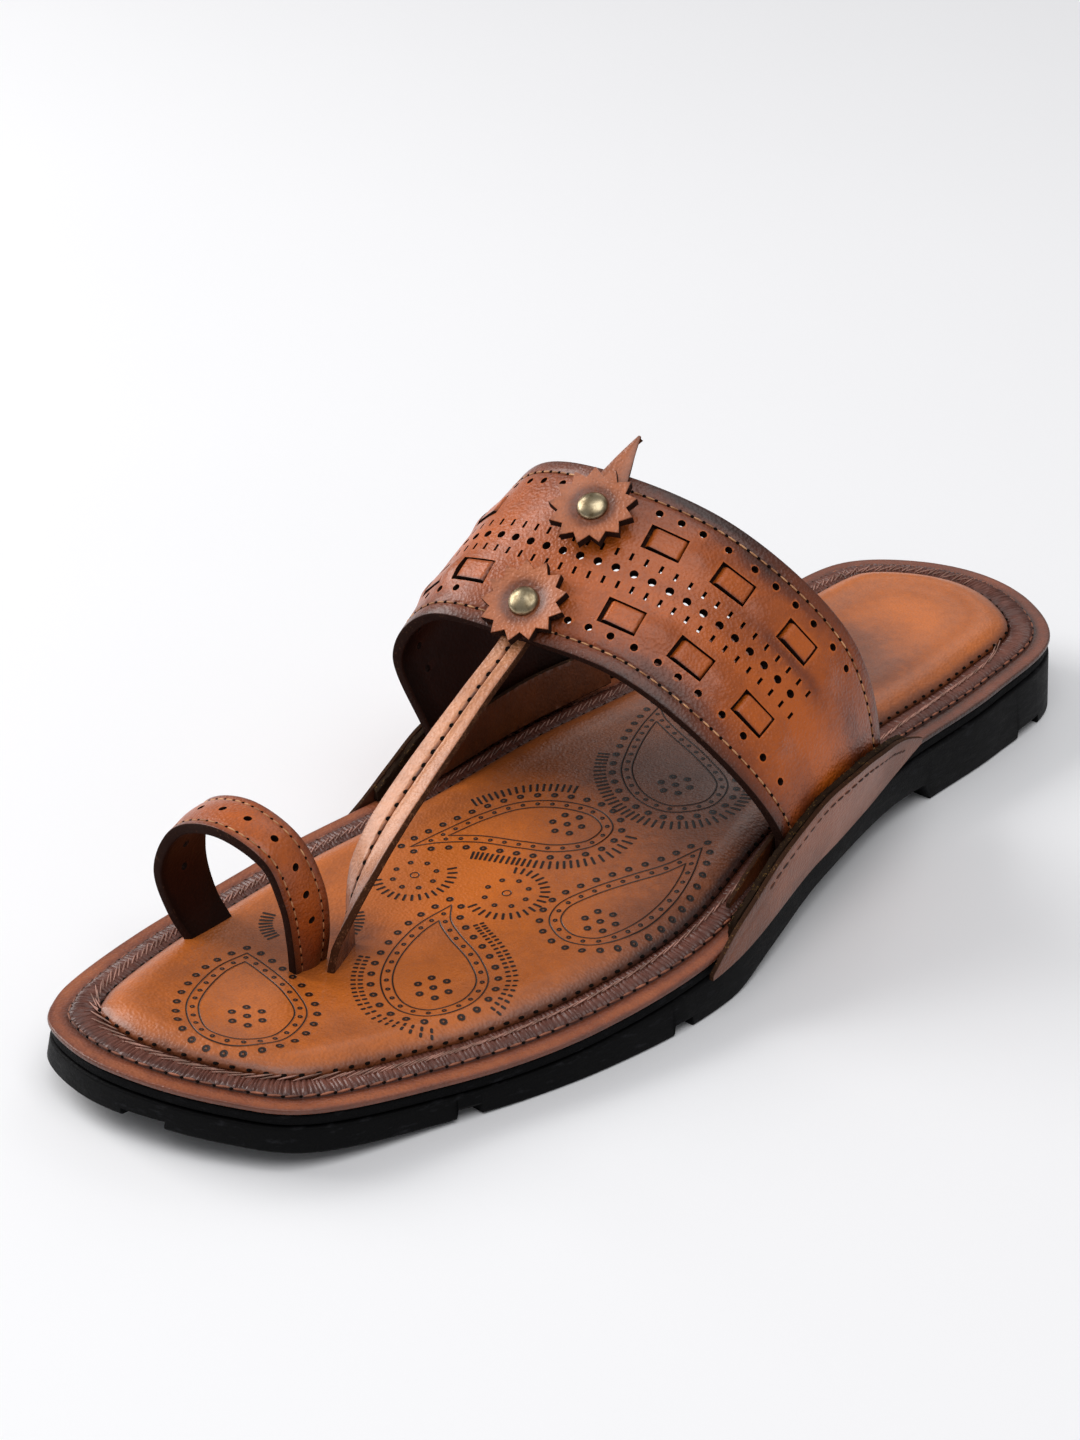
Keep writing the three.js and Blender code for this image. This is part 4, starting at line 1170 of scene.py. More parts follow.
MATERIALS = {
    "leather": lambda: leather("leather", "bd5a10", "803a15", "34160b", strength=0.7, coat=0.35),
    "pad leather": lambda: leather("pad_leather", "c96a22", "8f4d28", "3c2119", strength=0.5, coat=0.4),
    "pressed pad": lambda: leather(
        "pressed_pad", "c96a22", "8f4d28", "3c2119", strength=0.5, coat=0.4, extra=pressed
    ),
    "rim leather": lambda: leather("rim_leather", "b4663b", "80432b", "30180f", strength=0.6, coat=0.3),
    "flap leather": lambda: leather("flap_leather", "b46a48", "83492d", "2e1710", strength=0.6, coat=0.2),
    "strap leather": lambda: leather(
        "strap_leather", "d68f63", "97552d", "46241a", strength=0.8, coat=0.5
    ),
    "rosette leather": lambda: leather(
        "rosette_leather", "bd6d42", "804427", "2c140d", strength=0.6, coat=0.5
    ),
    "border": lambda: leather("border_leather", "86503e", "623528", "241310", bump=0.0002, coat=0.2),
    "lining": lambda: leather(
        "lining_leather", "3a190e", "26110a", "120906", bump=0.0003, coat=0.0, shine=0.1
    ),
    "inner lining": lambda: leather("flap_lining_leather", "84451c", "552d19", "24130c", coat=0.4),
    "raw edge": lambda: fibrous("raw_edge", "28150f", "6a4a36", 0.56),
    "strap edge": lambda: fibrous("strap_edge", "452717", "8a5c40", 0.52),
    "raw core": lambda: fibrous("raw_core", "2a1c12", "a07a42", 0.56, 0.0006),
    "cut edge": lambda: fibrous("cut_edge", "3a2418", "a87e48", 0.56, 0.0004),
    "outsole": lambda: rubber("outsole_rubber", 0.5, 0.0004),
    "midsole": lambda: rubber("midsole_rubber", 0.7, 0.001),
    "thread": lambda: thread("tan_thread", "dca474", "96603a"),
    "rim thread": lambda: thread("rim_thread", "a8664a", "5a3020"),
    "strap thread": lambda: thread("orange_thread", "a05a2c", "5a301a"),
    "dark thread": lambda: thread("brown_thread", "5c3524", "2c1812"),
    "border thread": lambda: thread("border_thread", "b98878", "806052"),
    # The pricks' near-black finish is painted shade inside the stitch holes.
    "prick": lambda: fibrous("pricked_hole_shade", "0d0806", "1c110c", 0.7, 0.0001, 1.0),
    "brass": lambda: brass("antique_brass"),
}


def finish_of(name):
    """The material of one finish, made when it is first asked for."""
    made = dict(bpy.context.scene.get("sandal_finishes", {}))
    found = bpy.data.materials.get(made.get(name, ""))
    if found is None:
        found = MATERIALS[name]()
        made[name] = found.name
        bpy.context.scene["sandal_finishes"] = made
    return found


def patches(rows, u, v, names):
    """The darkening of listed patches at each place, partly burnish and partly painted shade and painted
    highlight.
    """
    total = np.zeros(np.shape(u))
    for a, b, reach, dark in zip(rows[names[0]], rows[names[1]], rows["reach"], rows["dark"]):
        away = ((u - a) ** 2 + (v - b) ** 2) / reach**2
        total = total + dark * np.exp(-away)
    return total


# Pieces


def build_sole():
    """The outsole with its notch, the midsole and the footbed's rim."""
    steps = [HEEL_EDGE, BREAST, BREAST + BREAST_RUN / LENGTH]
    for place, wide in zip(CHANNELS["along"], CHANNELS["wide"]):
        half = wide * CHANNEL_WIDTH / 2 / LENGTH
        wall = CHANNEL_WALL_RUN / LENGTH
        steps += [place - half - wall, place - half + wall, place + half - wall, place + half + wall]
    outsole = sole_layer(
        "outsole_sides", outline(SOLE_FLARE), outline(0), lambda a, x, y: underside(a),
        lambda a, x, y: outsole_top(a), ("outsole",), 0.7, steps,
    )
    depth = float(underside(np.array(TOE_NOTCH["along"]))) + CHANNEL_DEPTH
    size = (TOE_NOTCH_WIDTH, TOE_NOTCH_REACH, 2 * depth)
    corners = np.array([[x, y, z] for x in (-0.5, 0.5) for y in (-0.5, 0.5) for z in (-0.5, 0.5)]) * size
    corners += (TOE_NOTCH["across"] * BALL_WIDTH, y_at(TOE_NOTCH["along"]), 0)
    sides = [(0, 1, 3, 2), (4, 6, 7, 5), (0, 4, 5, 1), (2, 3, 7, 6), (0, 2, 6, 4), (1, 5, 7, 3)]
    notch = make("notch_tool", corners, sides, ("outsole",), smooth=30)
    cut(outsole, notch)
    seat(outsole, "rubber", "outsole")
    low = lambda a, x, y: outsole_top(a) + GAP
    edge = outline(-MIDSOLE_INSET)
    midsole = sole_layer(
        "midsole_sides", edge, edge, low, lambda a, x, y: low(a, x, y) + MIDSOLE_THICKNESS,
        ("midsole",), 0.6,
    )
    seat(midsole, "rubber", "midsole")

    def rim_burnish(points, away):
        along = along_at(points[:, 1])
        seam, edge = 0.5 * bell(away, 4.3, 1.3), 0.4 * np.exp(-away / 0.5)
        return 0.3 + seam + 0.25 * (along < 0.3) + edge

    rim = sole_layer(
        "footbed_edge", outline(0), outline(0), lambda a, x, y: rim_top(a) - RIM_THICKNESS,
        lambda a, x, y: rim_top(a), ("rim leather",), 0.45, (), rim_burnish,
    )
    seat(rim, "leather", "footbed_rim")


def cut(obj, tool):
    """Takes a tool's form out of a closed piece."""
    modifier = obj.modifiers.new("cut", "BOOLEAN")
    modifier.operation = "DIFFERENCE"
    modifier.solver = "MANIFOLD"
    modifier.object = tool
    applied(obj)
    bpy.data.objects.remove(tool)
    obj.data.set_sharp_from_angle(angle=math.radians(40))
    return obj


def build_border(pitch, depth):
    """The crimped strip between the rim and the pad."""
    count = 4200
    outer, inner = outline(-RIM_WIDTH + 0.15, count), outline(-RIM_WIDTH - BORDER_WIDTH - 0.35, count)
    shares = np.array([0, 0.06, 0.2, 0.4, 0.6, 0.8, 0.94, 1])
    flat = mix(outer[:, None], inner[:, None], shares[:, None])
    height = rim_top(along_at(flat[..., 1])) + GAP + BORDER_RISE * 0.65 * np.sin(np.pi * shares) ** 0.4
    height = np.where((shares == 0) | (shares == 1), height - 0.35, height)
    top = np.concatenate([flat, height[..., None]], -1)
    travel = travelled((outer + inner) / 2)
    faces = grid_faces(count, len(shares), looped=True)
    marks = {
        "length": np.repeat(travel, len(shares)),
        "across": np.tile(shares, count),
        "burnish_and_shading": np.tile(0.35 + 0.35 * np.abs(shares - 0.5) * 2, count),
    }
    obj = make("crimped_border", top.reshape(-1, 3), faces, ("border",), smooth=180, marks=marks)
    if obj.data.polygons[0].normal.z < 0:
        obj.data.flip_normals()
    tree = bpy.data.node_groups.get("Pleats across a strip") or pleat_tree()
    grown(obj, tree, Pitch=pitch, Depth=depth * MM, Waver=0.8, Seed=5.0, Material=finish_of("border"))
    seat(obj, "dark_leather", "pleated_border")


def pad_burnish_and_shading(points, away):
    """How dark the pad is: its edge, its outer side as painted shade, and its patches, partly painted shade
    and painted highlight.
    """
    x, y = points[:, 0], points[:, 1]
    edge = 0.5 * bell(away, 0, 1.6) + 0.12 * bell(away, 10, 6)
    # The outer side darkens as painted shade, on the side turned away from the key light.
    lateral = 0.3 * np.clip((x - 32) / 12, 0, 1)
    return 0.12 + edge + lateral + patches(PAD_BURNISH_AND_SHADING, x, y, ("x", "y"))


def build_pad():
    """The padded insole."""
    edge = outline(-PAD_INSET)
    pad = sole_layer(
        "insole_pad_leather", edge, edge, lambda a, x, y: rim_top(a) + GAP,
        lambda a, x, y: pad_height(x, y, edge), ("pad leather",), 0.2, (), pad_burnish_and_shading,
    )
    seat(pad, "leather", "insole_pad")
    return pad


def inward(line, distance):
    """A closed line moved inwards, without what its own corners would fold over."""
    run = unit(np.roll(line, -1, 0) - np.roll(line, 1, 0))
    turn = np.sign(np.sum(line[:, 0] * np.roll(line[:, 1], -1) - np.roll(line[:, 0], -1) * line[:, 1]))
    moved = line + turn * distance * np.stack([-run[:, 1], run[:, 0]], 1)
    gap = np.linalg.norm(moved[:, None] - line[None], axis=2).min(1)
    return moved[gap > abs(distance) * 0.97]


def build_print(pad):
    """Lines, dots and rays pressed into the pad."""
    edge = outline(-PAD_INSET)
    mesh = pad.data
    surface = BVHTree.FromPolygons([v.co for v in mesh.vertices], [p.vertices for p in mesh.polygons])
    points, faces, press = [], [], []

    def below(flat):
        """What lies straight below each place: a point of the pad, or nothing."""
        rows = (np.column_stack([flat, np.full(len(flat), 100.0)]) + SHIFT) * MM
        return [surface.ray_cast(Vector(row), Vector((0, 0, -1)))[0] for row in rows]

    def on_pad(flat):
        """Heights of places on the pad's own surface, in millimetres."""
        return np.array([place.z / MM for place in below(flat)]) + PRINT_LIFT

    def ribbon(line, width):
        """A closed line, darkest along its middle."""
        run = unit(np.roll(line, -1, 0) - np.roll(line, 1, 0))
        side = np.stack([-run[:, 1], run[:, 0]], 1)
        shares = (-1, -0.5, 0, 0.5, 1)
        flat = np.stack([line + side * width / 2 * share for share in shares], 1).reshape(-1, 2)
        faces.extend(grid_faces(len(line), len(shares), sum(len(p) for p in points), looped=True))
        points.append(np.column_stack([flat, on_pad(flat)]))
        press.append(np.tile([0, 0.7, 1, 0.7, 0], len(line)))

    def disc(centre, radius, along=None, length=0.0, hollow=0.42):
        """A dot, or a short dash where it has a direction and a length."""
        start, sides = sum(len(p) for p in points), DOT_SIDES
        rim = spoke(np.arange(sides) / sides * 2 * np.pi)
        rings = [np.zeros((1, 2))] + [rim * share for share in (0.2, 0.42, 0.85, 1)]
        flat = np.vstack(rings) * radius
        if along is not None:
            flat[:, 0] += np.sign(flat[:, 0]) * (length / 2) * (np.abs(flat[:, 0]) > 1e-9)
            flat = flat @ np.array([[along[0], along[1]], [-along[1], along[0]]])
        flat = flat + centre
        points.append(np.column_stack([flat, on_pad(flat)]))
        press.append(np.repeat([hollow, hollow, 1, 0.9, 0], [1, sides, sides, sides, sides]))
        faces.extend([[start, start + 1 + k, start + 1 + (k + 1) % sides] for k in range(sides)])
        faces.extend(grid_faces(4, sides, start + 1, closed=True))

    def rays(line, normals, length=3.0, dashes=1):
        part = length / dashes
        held = [place is not None for place in below(line + normals * (length + 0.8))]
        for at, out in zip(line[held], normals[held]):
            for k in range(dashes):
                disc(at + out * (k + 0.5) * part, 0.36, out, part - 0.7 - 0.25 * (dashes - 1), 1.0)

    for drop in DROPS.values():
        curve = spline(np.vstack([drop["line"], drop["line"][:1]]))
        line = curve(np.arange(240) / 240)
        ribbon(line, PRESSED_LINE)
        ribbon(inward(line, LINE_SPACING), PRESSED_LINE)
        for at in even_points(inward(line, LINE_SPACING / 2), 3.4)[0]:
            disc(at, 0.62)
        for at in even_points(inward(line, -2.1), 3.9)[0]:
            disc(at, 0.95)
        centre = np.array(drop["cluster"])
        disc(centre, 0.95)
        for angle in np.radians(np.arange(6) * 60 + 20):
            disc(centre + 3.5 * spoke(angle), 0.95)
        for start, end in drop["rays"]:
            arc = curve(np.linspace(start, end, 120))
            around, ahead = even_points(arc, 1.2, closed=False)
            out = np.stack([ahead[:, 1], -ahead[:, 0]], 1)
            middle = np.mean(line, 0)
            out = out * np.sign(((around - middle) * out).sum(1))[:, None]
            rays(around + out * 3.5, out, 3, drop.get("dashes", 1))
    for flower in FLOWERS.values():
        centre = np.array(flower["centre"])
        circle = np.radians(np.arange(24) * 15)
        ribbon(centre + 0.95 * spoke(circle), 0.45)
        for angle in np.radians(np.arange(8) * 45 + 10):
            disc(centre + 4.9 * spoke(angle), 0.75)
        angle = np.radians(np.arange(flower["rays"][0], flower["rays"][1], 11.5))
        out = spoke(angle)
        rays(centre + out * 7.2, out, 2.4)
    for start, end in FAN["arcs"]:
        angle = np.radians(np.arange(start, end, 7))
        out = spoke(angle)
        rays(np.array(FAN["centre"]) + out * FAN["radius"], out, 3.2)
    flat = np.vstack(points)
    burnish_and_shading = pad_burnish_and_shading(flat, inset(edge, flat[:, 0], flat[:, 1]))
    marks = {"press": np.concatenate(press), "burnish_and_shading": burnish_and_shading}
    obj = make("pressed_print", flat, faces, ("pressed pad",), smooth=180, marks=marks)
    up = np.array([p.normal.z for p in obj.data.polygons]) < 0
    shape = bmesh.new()
    shape.from_mesh(obj.data)
    shape.faces.ensure_lookup_table()
    bmesh.ops.reverse_faces(shape, faces=[f for f, turned in zip(shape.faces, up) if turned])
    shape.to_mesh(obj.data)
    shape.free()
    seat(obj, "dark_leather")


def groove(wide, width, row, depth=0.3, spread=0.55):
    """A pressed-in stitch row at one distance from both edges."""
    return -depth * (bell(wide, row, spread) + bell(width - wide, row, spread))


def band_relief(run, wide, width):
    """How far the band's face rises: ridges between its windows, its seams and soft waves."""
    share = wide / width
    ridge = np.zeros_like(wide)
    for across, windows in WINDOW_ROWS:
        over = bell(share, across, 0.07)
        steps = np.diff(windows)
        between = [a + b / 2 for a, b in zip(windows, steps) if b < 0.1]
        between += [windows[0] - 0.036, windows[-1] + 0.034]
        for middle in between:
            ridge = ridge + 0.95 * over * bell(run, middle, 0.019)
    soft = 0.2 * np.sin(run * 21 + share * 3) * np.sin(share * np.pi) ** 2
    return groove(wide, width, STITCH_ROW) + ridge + soft


def band_burnish_and_shading(run, wide, width):
    """How dark the band is: its edges, its ends and its patches, the patches partly painted shade and painted
    highlight.
    """
    share = wide / width
    edges = 0.85 * np.exp(-wide / 4) + 0.7 * np.exp(-(width - wide) / 4.5)
    low = 0.35 * np.clip((np.abs(run - 0.5) - 0.33) / 0.1, 0, 1)
    return 0.16 + edges + low + patches(BAND_BURNISH_AND_SHADING, run, share, ("run", "across"))


def local(surface, run, across):
    """A place on a surface with its three directions: along the run, across, and out."""
    place, along, out = frames(surface, np.array([run]), np.array([across]))
    return place[0], along[0], np.cross(out[0], along[0]), out[0]


def tool_prisms(name, places, outlines, low, high):
    """One mesh of upright prisms, each at its own place on a surface."""
    points, faces = [], []
    for (origin, x, y, z), flat in zip(places, outlines):
        start = len(points)
        sides = len(flat)
        for level in (low, high):
            points += [origin + x * a + y * b + z * level for a, b in flat]
            faces.append([len(points) - 1 - k for k in range(sides)])
        faces += grid_faces(2, sides, start, closed=True)
    return make(name, points, faces, ("raw edge",), smooth=30)


def circle_of(radius, sides=14):
    """A flat ring of points."""
    return spoke(np.arange(sides) / sides * 2 * np.pi) * radius


def box_of(left, right, low, high):
    """The corners of a flat rectangle."""
    return np.array([(left, low), (right, low), (right, high), (left, high)])


def build_band():
    """The instep band with its holes, slits and windows."""
    runs = np.linspace(0, 1, 260)
    near = (1, 2, 2.8, 3.3, 3.7, 4, 4.3, 4.7, 5.3, 6.2)
    obj = strip(
        "instep_band", band, BAND_THICKNESS, ("leather", "raw edge", "lining"),
        runs, near, 34, 0.45, band_relief, band_burnish_and_shading,
    )
    places, outlines = [], []
    for across, row in ((FRONT_HOLE_ROW, FRONT_HOLES), (REAR_HOLE_ROW, REAR_HOLES)):
        for run in row:
            places.append(local(band, run, across))
            outlines.append(circle_of(SMALL_HOLE / 2))
    middle = surface_runs(HOLE_ROW["across"], HOLE_ROW["start"], HOLE_ROW["end"], HOLE_PITCH)
    for run in middle:
        places.append(local(band, run, HOLE_ROW["across"]))
        outlines.append(circle_of(HOLE_DIAMETER / 2, 18))
    for sign in (-1, 1):
        for run in surface_runs(HOLE_ROW["across"], HOLE_ROW["start"], HOLE_ROW["end"] + 0.02, SLIT_PITCH):
            origin, x, y, z = local(band, run, HOLE_ROW["across"])
            places.append((origin + y * sign * SLIT_OFFSET, x, y, z))
            outlines.append(box_of(-SLIT_WIDTH / 2, SLIT_WIDTH / 2, -SLIT_LENGTH / 2, SLIT_LENGTH / 2))
    for run, across in RIVETS.values():
        places.append(local(band, run, across))
        outlines.append(circle_of(RIVET_SHANK / 2 + GAP))
    cut(obj, tool_prisms("band_holes", places, outlines, -6, 6))
    places, outlines = [], []
    half, side = WINDOW_LENGTH / 2, WINDOW_WIDTH / 2
    for across, row in WINDOW_ROWS:
        for run in row:
            places.append(local(band, run, across))
            outlines.append(box_of(-half - 0.8, half + 0.16, -side - 0.7, side + 0.16))
    cut(obj, tool_prisms("window_recess", places, outlines, -1.1, 6))
    seat(obj, "leather", "upper_straps")
    build_tabs()


def surface_runs(across, start, end, pitch):
    """Runs at an even pitch along one row of the band."""
    runs = np.linspace(start, end, 201)
    travel = pitch + travelled(band(runs, np.full(201, across)))
    return [np.interp(k * pitch, travel, runs) for k in range(1, int(travel[-1] / pitch) + 1)]


def build_tabs():
    """The woven strip where it shows through the band's windows."""
    points, faces, kinds, burnish_and_shading = [], [], [], []
    u, v = np.meshgrid(np.linspace(0, 1, 16), np.linspace(0, 1, 12), indexing="ij")
    rounding = np.clip(u / 0.16, 0, 1)
    arch = np.sqrt(1 - (1 - rounding) ** 2)
    pillow = 0.45 * WINDOW_RISE * (1 - u) ** 0.7 * (1 - v**2) ** 0.8
    lift = -1 + (1.1 + pillow) * arch
    lift = lift - 0.55 * np.clip((v - 0.9) / 0.1, 0, 1) ** 2 - 0.55 * np.clip((u - 0.94) / 0.06, 0, 1) ** 2
    # The tab darkens towards its bottom, right and top sides, where it drops into the slits round its window:
    # painted shade.
    edges = 0.4 * np.exp(-v / 0.06) + 0.5 * np.exp(-(1 - u) / 0.03) + 0.5 * np.exp(-(1 - v) / 0.05)
    place_x = mix(-WINDOW_LENGTH / 2, WINDOW_LENGTH / 2, u)[..., None]
    place_y = mix(-WINDOW_WIDTH / 2, WINDOW_WIDTH / 2, v)[..., None]
    ring = grid_edge(*u.shape)
    for across, row in WINDOW_ROWS:
        for run in row:
            origin, x, y, z = local(band, run, across)
            start = len(points)
            flat = origin + x * place_x + y * place_y
            for level in (flat + z * lift[..., None], flat - z * TAB_FLOOR):
                points += list(level.reshape(-1, 3))
            top, sides = grid_faces(*u.shape, start), walls(ring, start, u.size)
            faces += [*top, *sides, [start + u.size + k for k in ring]]
            kinds += [0] * len(top) + [1] * (len(sides) + 1)
            share = across + place_y[..., 0] / 45
            dark = 0.05 + patches(BAND_BURNISH_AND_SHADING, run + 0 * u, share, ("run", "across")) + edges
            burnish_and_shading += list(dark.ravel()) * 2
    obj = make("woven_tabs", points, faces, ("leather", "raw edge"), kinds, 50, {"burnish_and_shading": burnish_and_shading})
    seat(obj, "leather")


def build_strap():
    """The centre strap, folded to a seam along its middle."""
    def relief(run, wide, width):
        share = wide / width
        fold = -0.45 * bell(share, 0.5, 0.04) + 0.14 * bell(share, 0.6, 0.05)
        knots = -0.12 * bell(share, 0.5, 0.09) * (0.5 + 0.5 * np.cos(run * 2 * np.pi * 36))
        return fold + knots

    def burnish_and_shading(run, wide, width):
        share = wide / width
        middle = 0.6 * bell(share, 0.5, 0.05)
        sides = 0.4 * np.exp(-wide / 0.6) + 0.4 * np.exp(-(width - wide) / 0.6)
        return 0.08 + middle + sides + 0.75 * np.clip((run - 0.6) / 0.3, 0, 1)

    near = (0.7, 1.3, 2, 2.6)
    obj = strip(
        "centre_strap", centre_strap, STRAP_PLY,
        ("strap leather", "strap edge", "strap leather"),
        np.linspace(0, 1, 150), near, 24, 0.4, relief, burnish_and_shading,
    )
    seat(obj, "leather", "upper_straps")


def build_loop():
    """The toe loop and its row of holes."""
    def relief(run, wide, width):
        crown = 0.5 * np.sin(np.pi * wide / width) ** 2
        return groove(wide, width, LOOP_STITCH_ROW, 0.25, 0.45) + crown

    def burnish_and_shading(run, wide, width):
        edges = 0.55 * np.exp(-wide / 1.6) + 0.5 * np.exp(-(width - wide) / 1.8)
        ends = 0.4 * np.clip((np.abs(run - 0.5) - 0.3) / 0.2, 0, 1)
        # The loop's top is lightened as a painted highlight.
        top = -0.1 * bell(run, 0.55, 0.2)
        return 0.22 + edges + ends + top

    obj = strip(
        "toe_loop_strap", loop, LOOP_THICKNESS,
        ("leather", "raw edge", "lining"),
        np.linspace(0, 1, 130), (0.9, 1.4, 1.8, 2.1, 2.5, 3.1), 9, 0.4, relief, burnish_and_shading,
    )
    middle = spline(loop(np.linspace(0, 1, 25), np.full(25, 0.5)))
    fine = np.linspace(0, 1, 801)
    stops = LOOP_HOLE_START + np.arange(LOOP_HOLES) * LOOP_HOLE_PITCH
    places = [local(loop, run, 0.5) for run in np.interp(stops, travelled(middle(fine)), fine)]
    cut(obj, tool_prisms("loop_holes", places, [circle_of(LOOP_HOLE_DIAMETER / 2)] * LOOP_HOLES, -5, 5))
    seat(obj, "leather", "toe_loop")


def build_flaps():
    """The three plies of each side flap."""
    inner = CORE_SET_BACK / LENGTH
    for name, flap in FLAPS.items():
        rows = flap["rows"]
        heel, toe = rows["along"][0], rows["along"][-1]
        held = min(flap["ends"]["rear"]) - inner

        def outer_relief(run, wide, width):
            return -0.22 * bell(width - wide, STITCH_ROW, 0.4) * (width > 6)

        def outer_burnish(run, wide, width):
            top = 0.3 * np.exp(-(width - wide) / 1.5)
            return 0.42 + top + 0.1 * np.exp(-wide / 2) + 0.12 * np.sin(run * 9)

        runs = np.linspace(0, 1, 110)
        outer = strip(
            f"flap_leaf_{name}", flap_face(name, 0, heel, toe), OUTER_PLY,
            ("flap leather", "cut edge", "inner lining"),
            runs, (), 14, 0.18, outer_relief, outer_burnish, -flap["side"],
        )
        seat(outer, "leather", f"flap_outer_{name}")
        core = strip(
            f"flap_core_edge_{name}", flap_face(name, CORE_DEPTH, heel + inner, toe - inner, GAP), CORE_PLY,
            ("raw core",) * 3, runs, (), 6, 0.3, None, None, -flap["side"],
        )
        roughen(core, 0.3, 11)
        seat(core, "raw_leather", f"flap_core_{name}")
        face = flap_face(name, LINING_DEPTH, held, toe - LINING_SET_BACK / LENGTH, TAIL_BASE, LINING_DROP)
        lining = strip(
            f"flap_inner_lining_{name}", face, LINING_PLY,
            ("inner lining", "cut edge", "inner lining"),
            runs, (), 6, 0.2, None, lambda run, wide, width: 0.3 + 0 * run, -flap["side"],
        )
        roughen(lining, 0.12, 5)
        seat(lining, "dark_leather", f"flap_lining_{name}")


def roughen(obj, reach, seed):
    """Frays a raw edge: small seeded moves of its vertices."""
    draw = np.random.default_rng(seed)
    co = np.empty(len(obj.data.vertices) * 3)
    obj.data.vertices.foreach_get("co", co)
    co += draw.normal(0, reach * MM * 0.35, co.shape)
    obj.data.vertices.foreach_set("co", co)
    obj.data.update()


def placed(frame_of, points):
    """Points given in a place's own three directions."""
    origin, x, y, z = frame_of
    points = np.asarray(points, float)
    return origin + points[..., :1] * x + points[..., 1:2] * y + points[..., 2:] * z


def build_rosette(name, frame_of, height):
    """A toothed leather rosette, pressed down round its rivet."""
    corner = np.arange(2 * ROSETTE_TEETH + 1) * np.pi / ROSETTE_TEETH
    radius = np.where(np.arange(len(corner)) % 2, ROSETTE_DIAMETER / 2 - TOOTH_DEPTH, ROSETTE_DIAMETER / 2)
    star = spoke(corner) * radius[:, None]
    step = 4
    rim = np.vstack([mix(star[i], star[i + 1], k / step) for i in range(len(star) - 1) for k in range(step)])
    count = len(rim)
    bore = unit(rim) * (RIVET_SHANK / 2 + GAP)

    def top(flat):
        away = np.linalg.norm(flat, axis=-1)
        dish = 0.45 * (away / 10) ** 2 - 0.8 * bell(away, 0, 4.3)
        pucker = 0.06 * np.sin(np.arctan2(flat[..., 1], flat[..., 0]) * 4) * bell(away, 6.5, 3)
        return height + ROSETTE_THICKNESS + dish + pucker

    levels = [(mix(bore, rim, share), 0, 0) for share in (0, 0.12, 0.25, 0.4, 0.55, 0.7, 0.82, 0.92, 0.985)]
    levels.append((rim, -0.2, 1))
    below = [(rim * 1.004, 0.9, 1), (rim * 0.995, 0, 2), (mix(bore, rim, 0.5), 0, 2), (bore, 0, 2)]
    rings = [with_height(flat, top(flat) + up) for flat, up, _ in levels]
    rings += [with_height(flat, height + up) for flat, up, _ in below]
    points = np.vstack(rings)
    faces = grid_faces(len(rings), count, closed=True, looped=True)
    kinds = np.repeat([kind for _, _, kind in levels + below], count)
    away = np.linalg.norm(points[:, :2], axis=1)
    # The ring round the rivet's dome is darkened as painted shade; the ring near the teeth darkens the
    # rosette's edge.
    burnish_and_shading = 0.1 + 0.55 * bell(away, 4.2, 1.4) + 0.3 * bell(away, 9.8, 0.6)
    finishes = ("rosette leather", "raw edge", "raw edge")
    return make(name, placed(frame_of, points), faces, finishes, kinds, 40, {"burnish_and_shading": burnish_and_shading})


def build_rivet(name, frame_of, head_height, back_depth):
    """Dome, shank and back cap of one rivet."""
    head, shank = RIVET_HEAD / 2, RIVET_SHANK / 2
    cap = 0.8 * head
    foot_level, crown_level = -back_depth - RIVET_CAP, head_height + RIVET_RISE
    rings = [(cap * 0.8, foot_level), (cap, -back_depth - RIVET_CAP * 0.7), (cap, -back_depth)]
    rings += [(shank, -back_depth), (shank, head_height), (head * 0.96, head_height)]
    rings += [
        (head * share, head_height + 0.12 + (RIVET_RISE - 0.12) * math.sqrt(1 - share**2))
        for share in DOME_SHARES
    ]
    sides = 40
    rim = spoke(np.arange(sides) / sides * 2 * np.pi)
    points = [(*(radius * flat), level) for radius, level in rings for flat in rim]
    faces = grid_faces(len(rings), sides, closed=True)
    foot, crown = len(points), len(points) + 1
    points += [(0, 0, foot_level), (0, 0, crown_level)]
    last = (len(rings) - 1) * sides
    faces += [[foot, (k + 1) % sides, k] for k in range(sides)]
    faces += [[crown, last + k, last + (k + 1) % sides] for k in range(sides)]
    return make(name, placed(frame_of, points), faces, ("brass",), smooth=50)


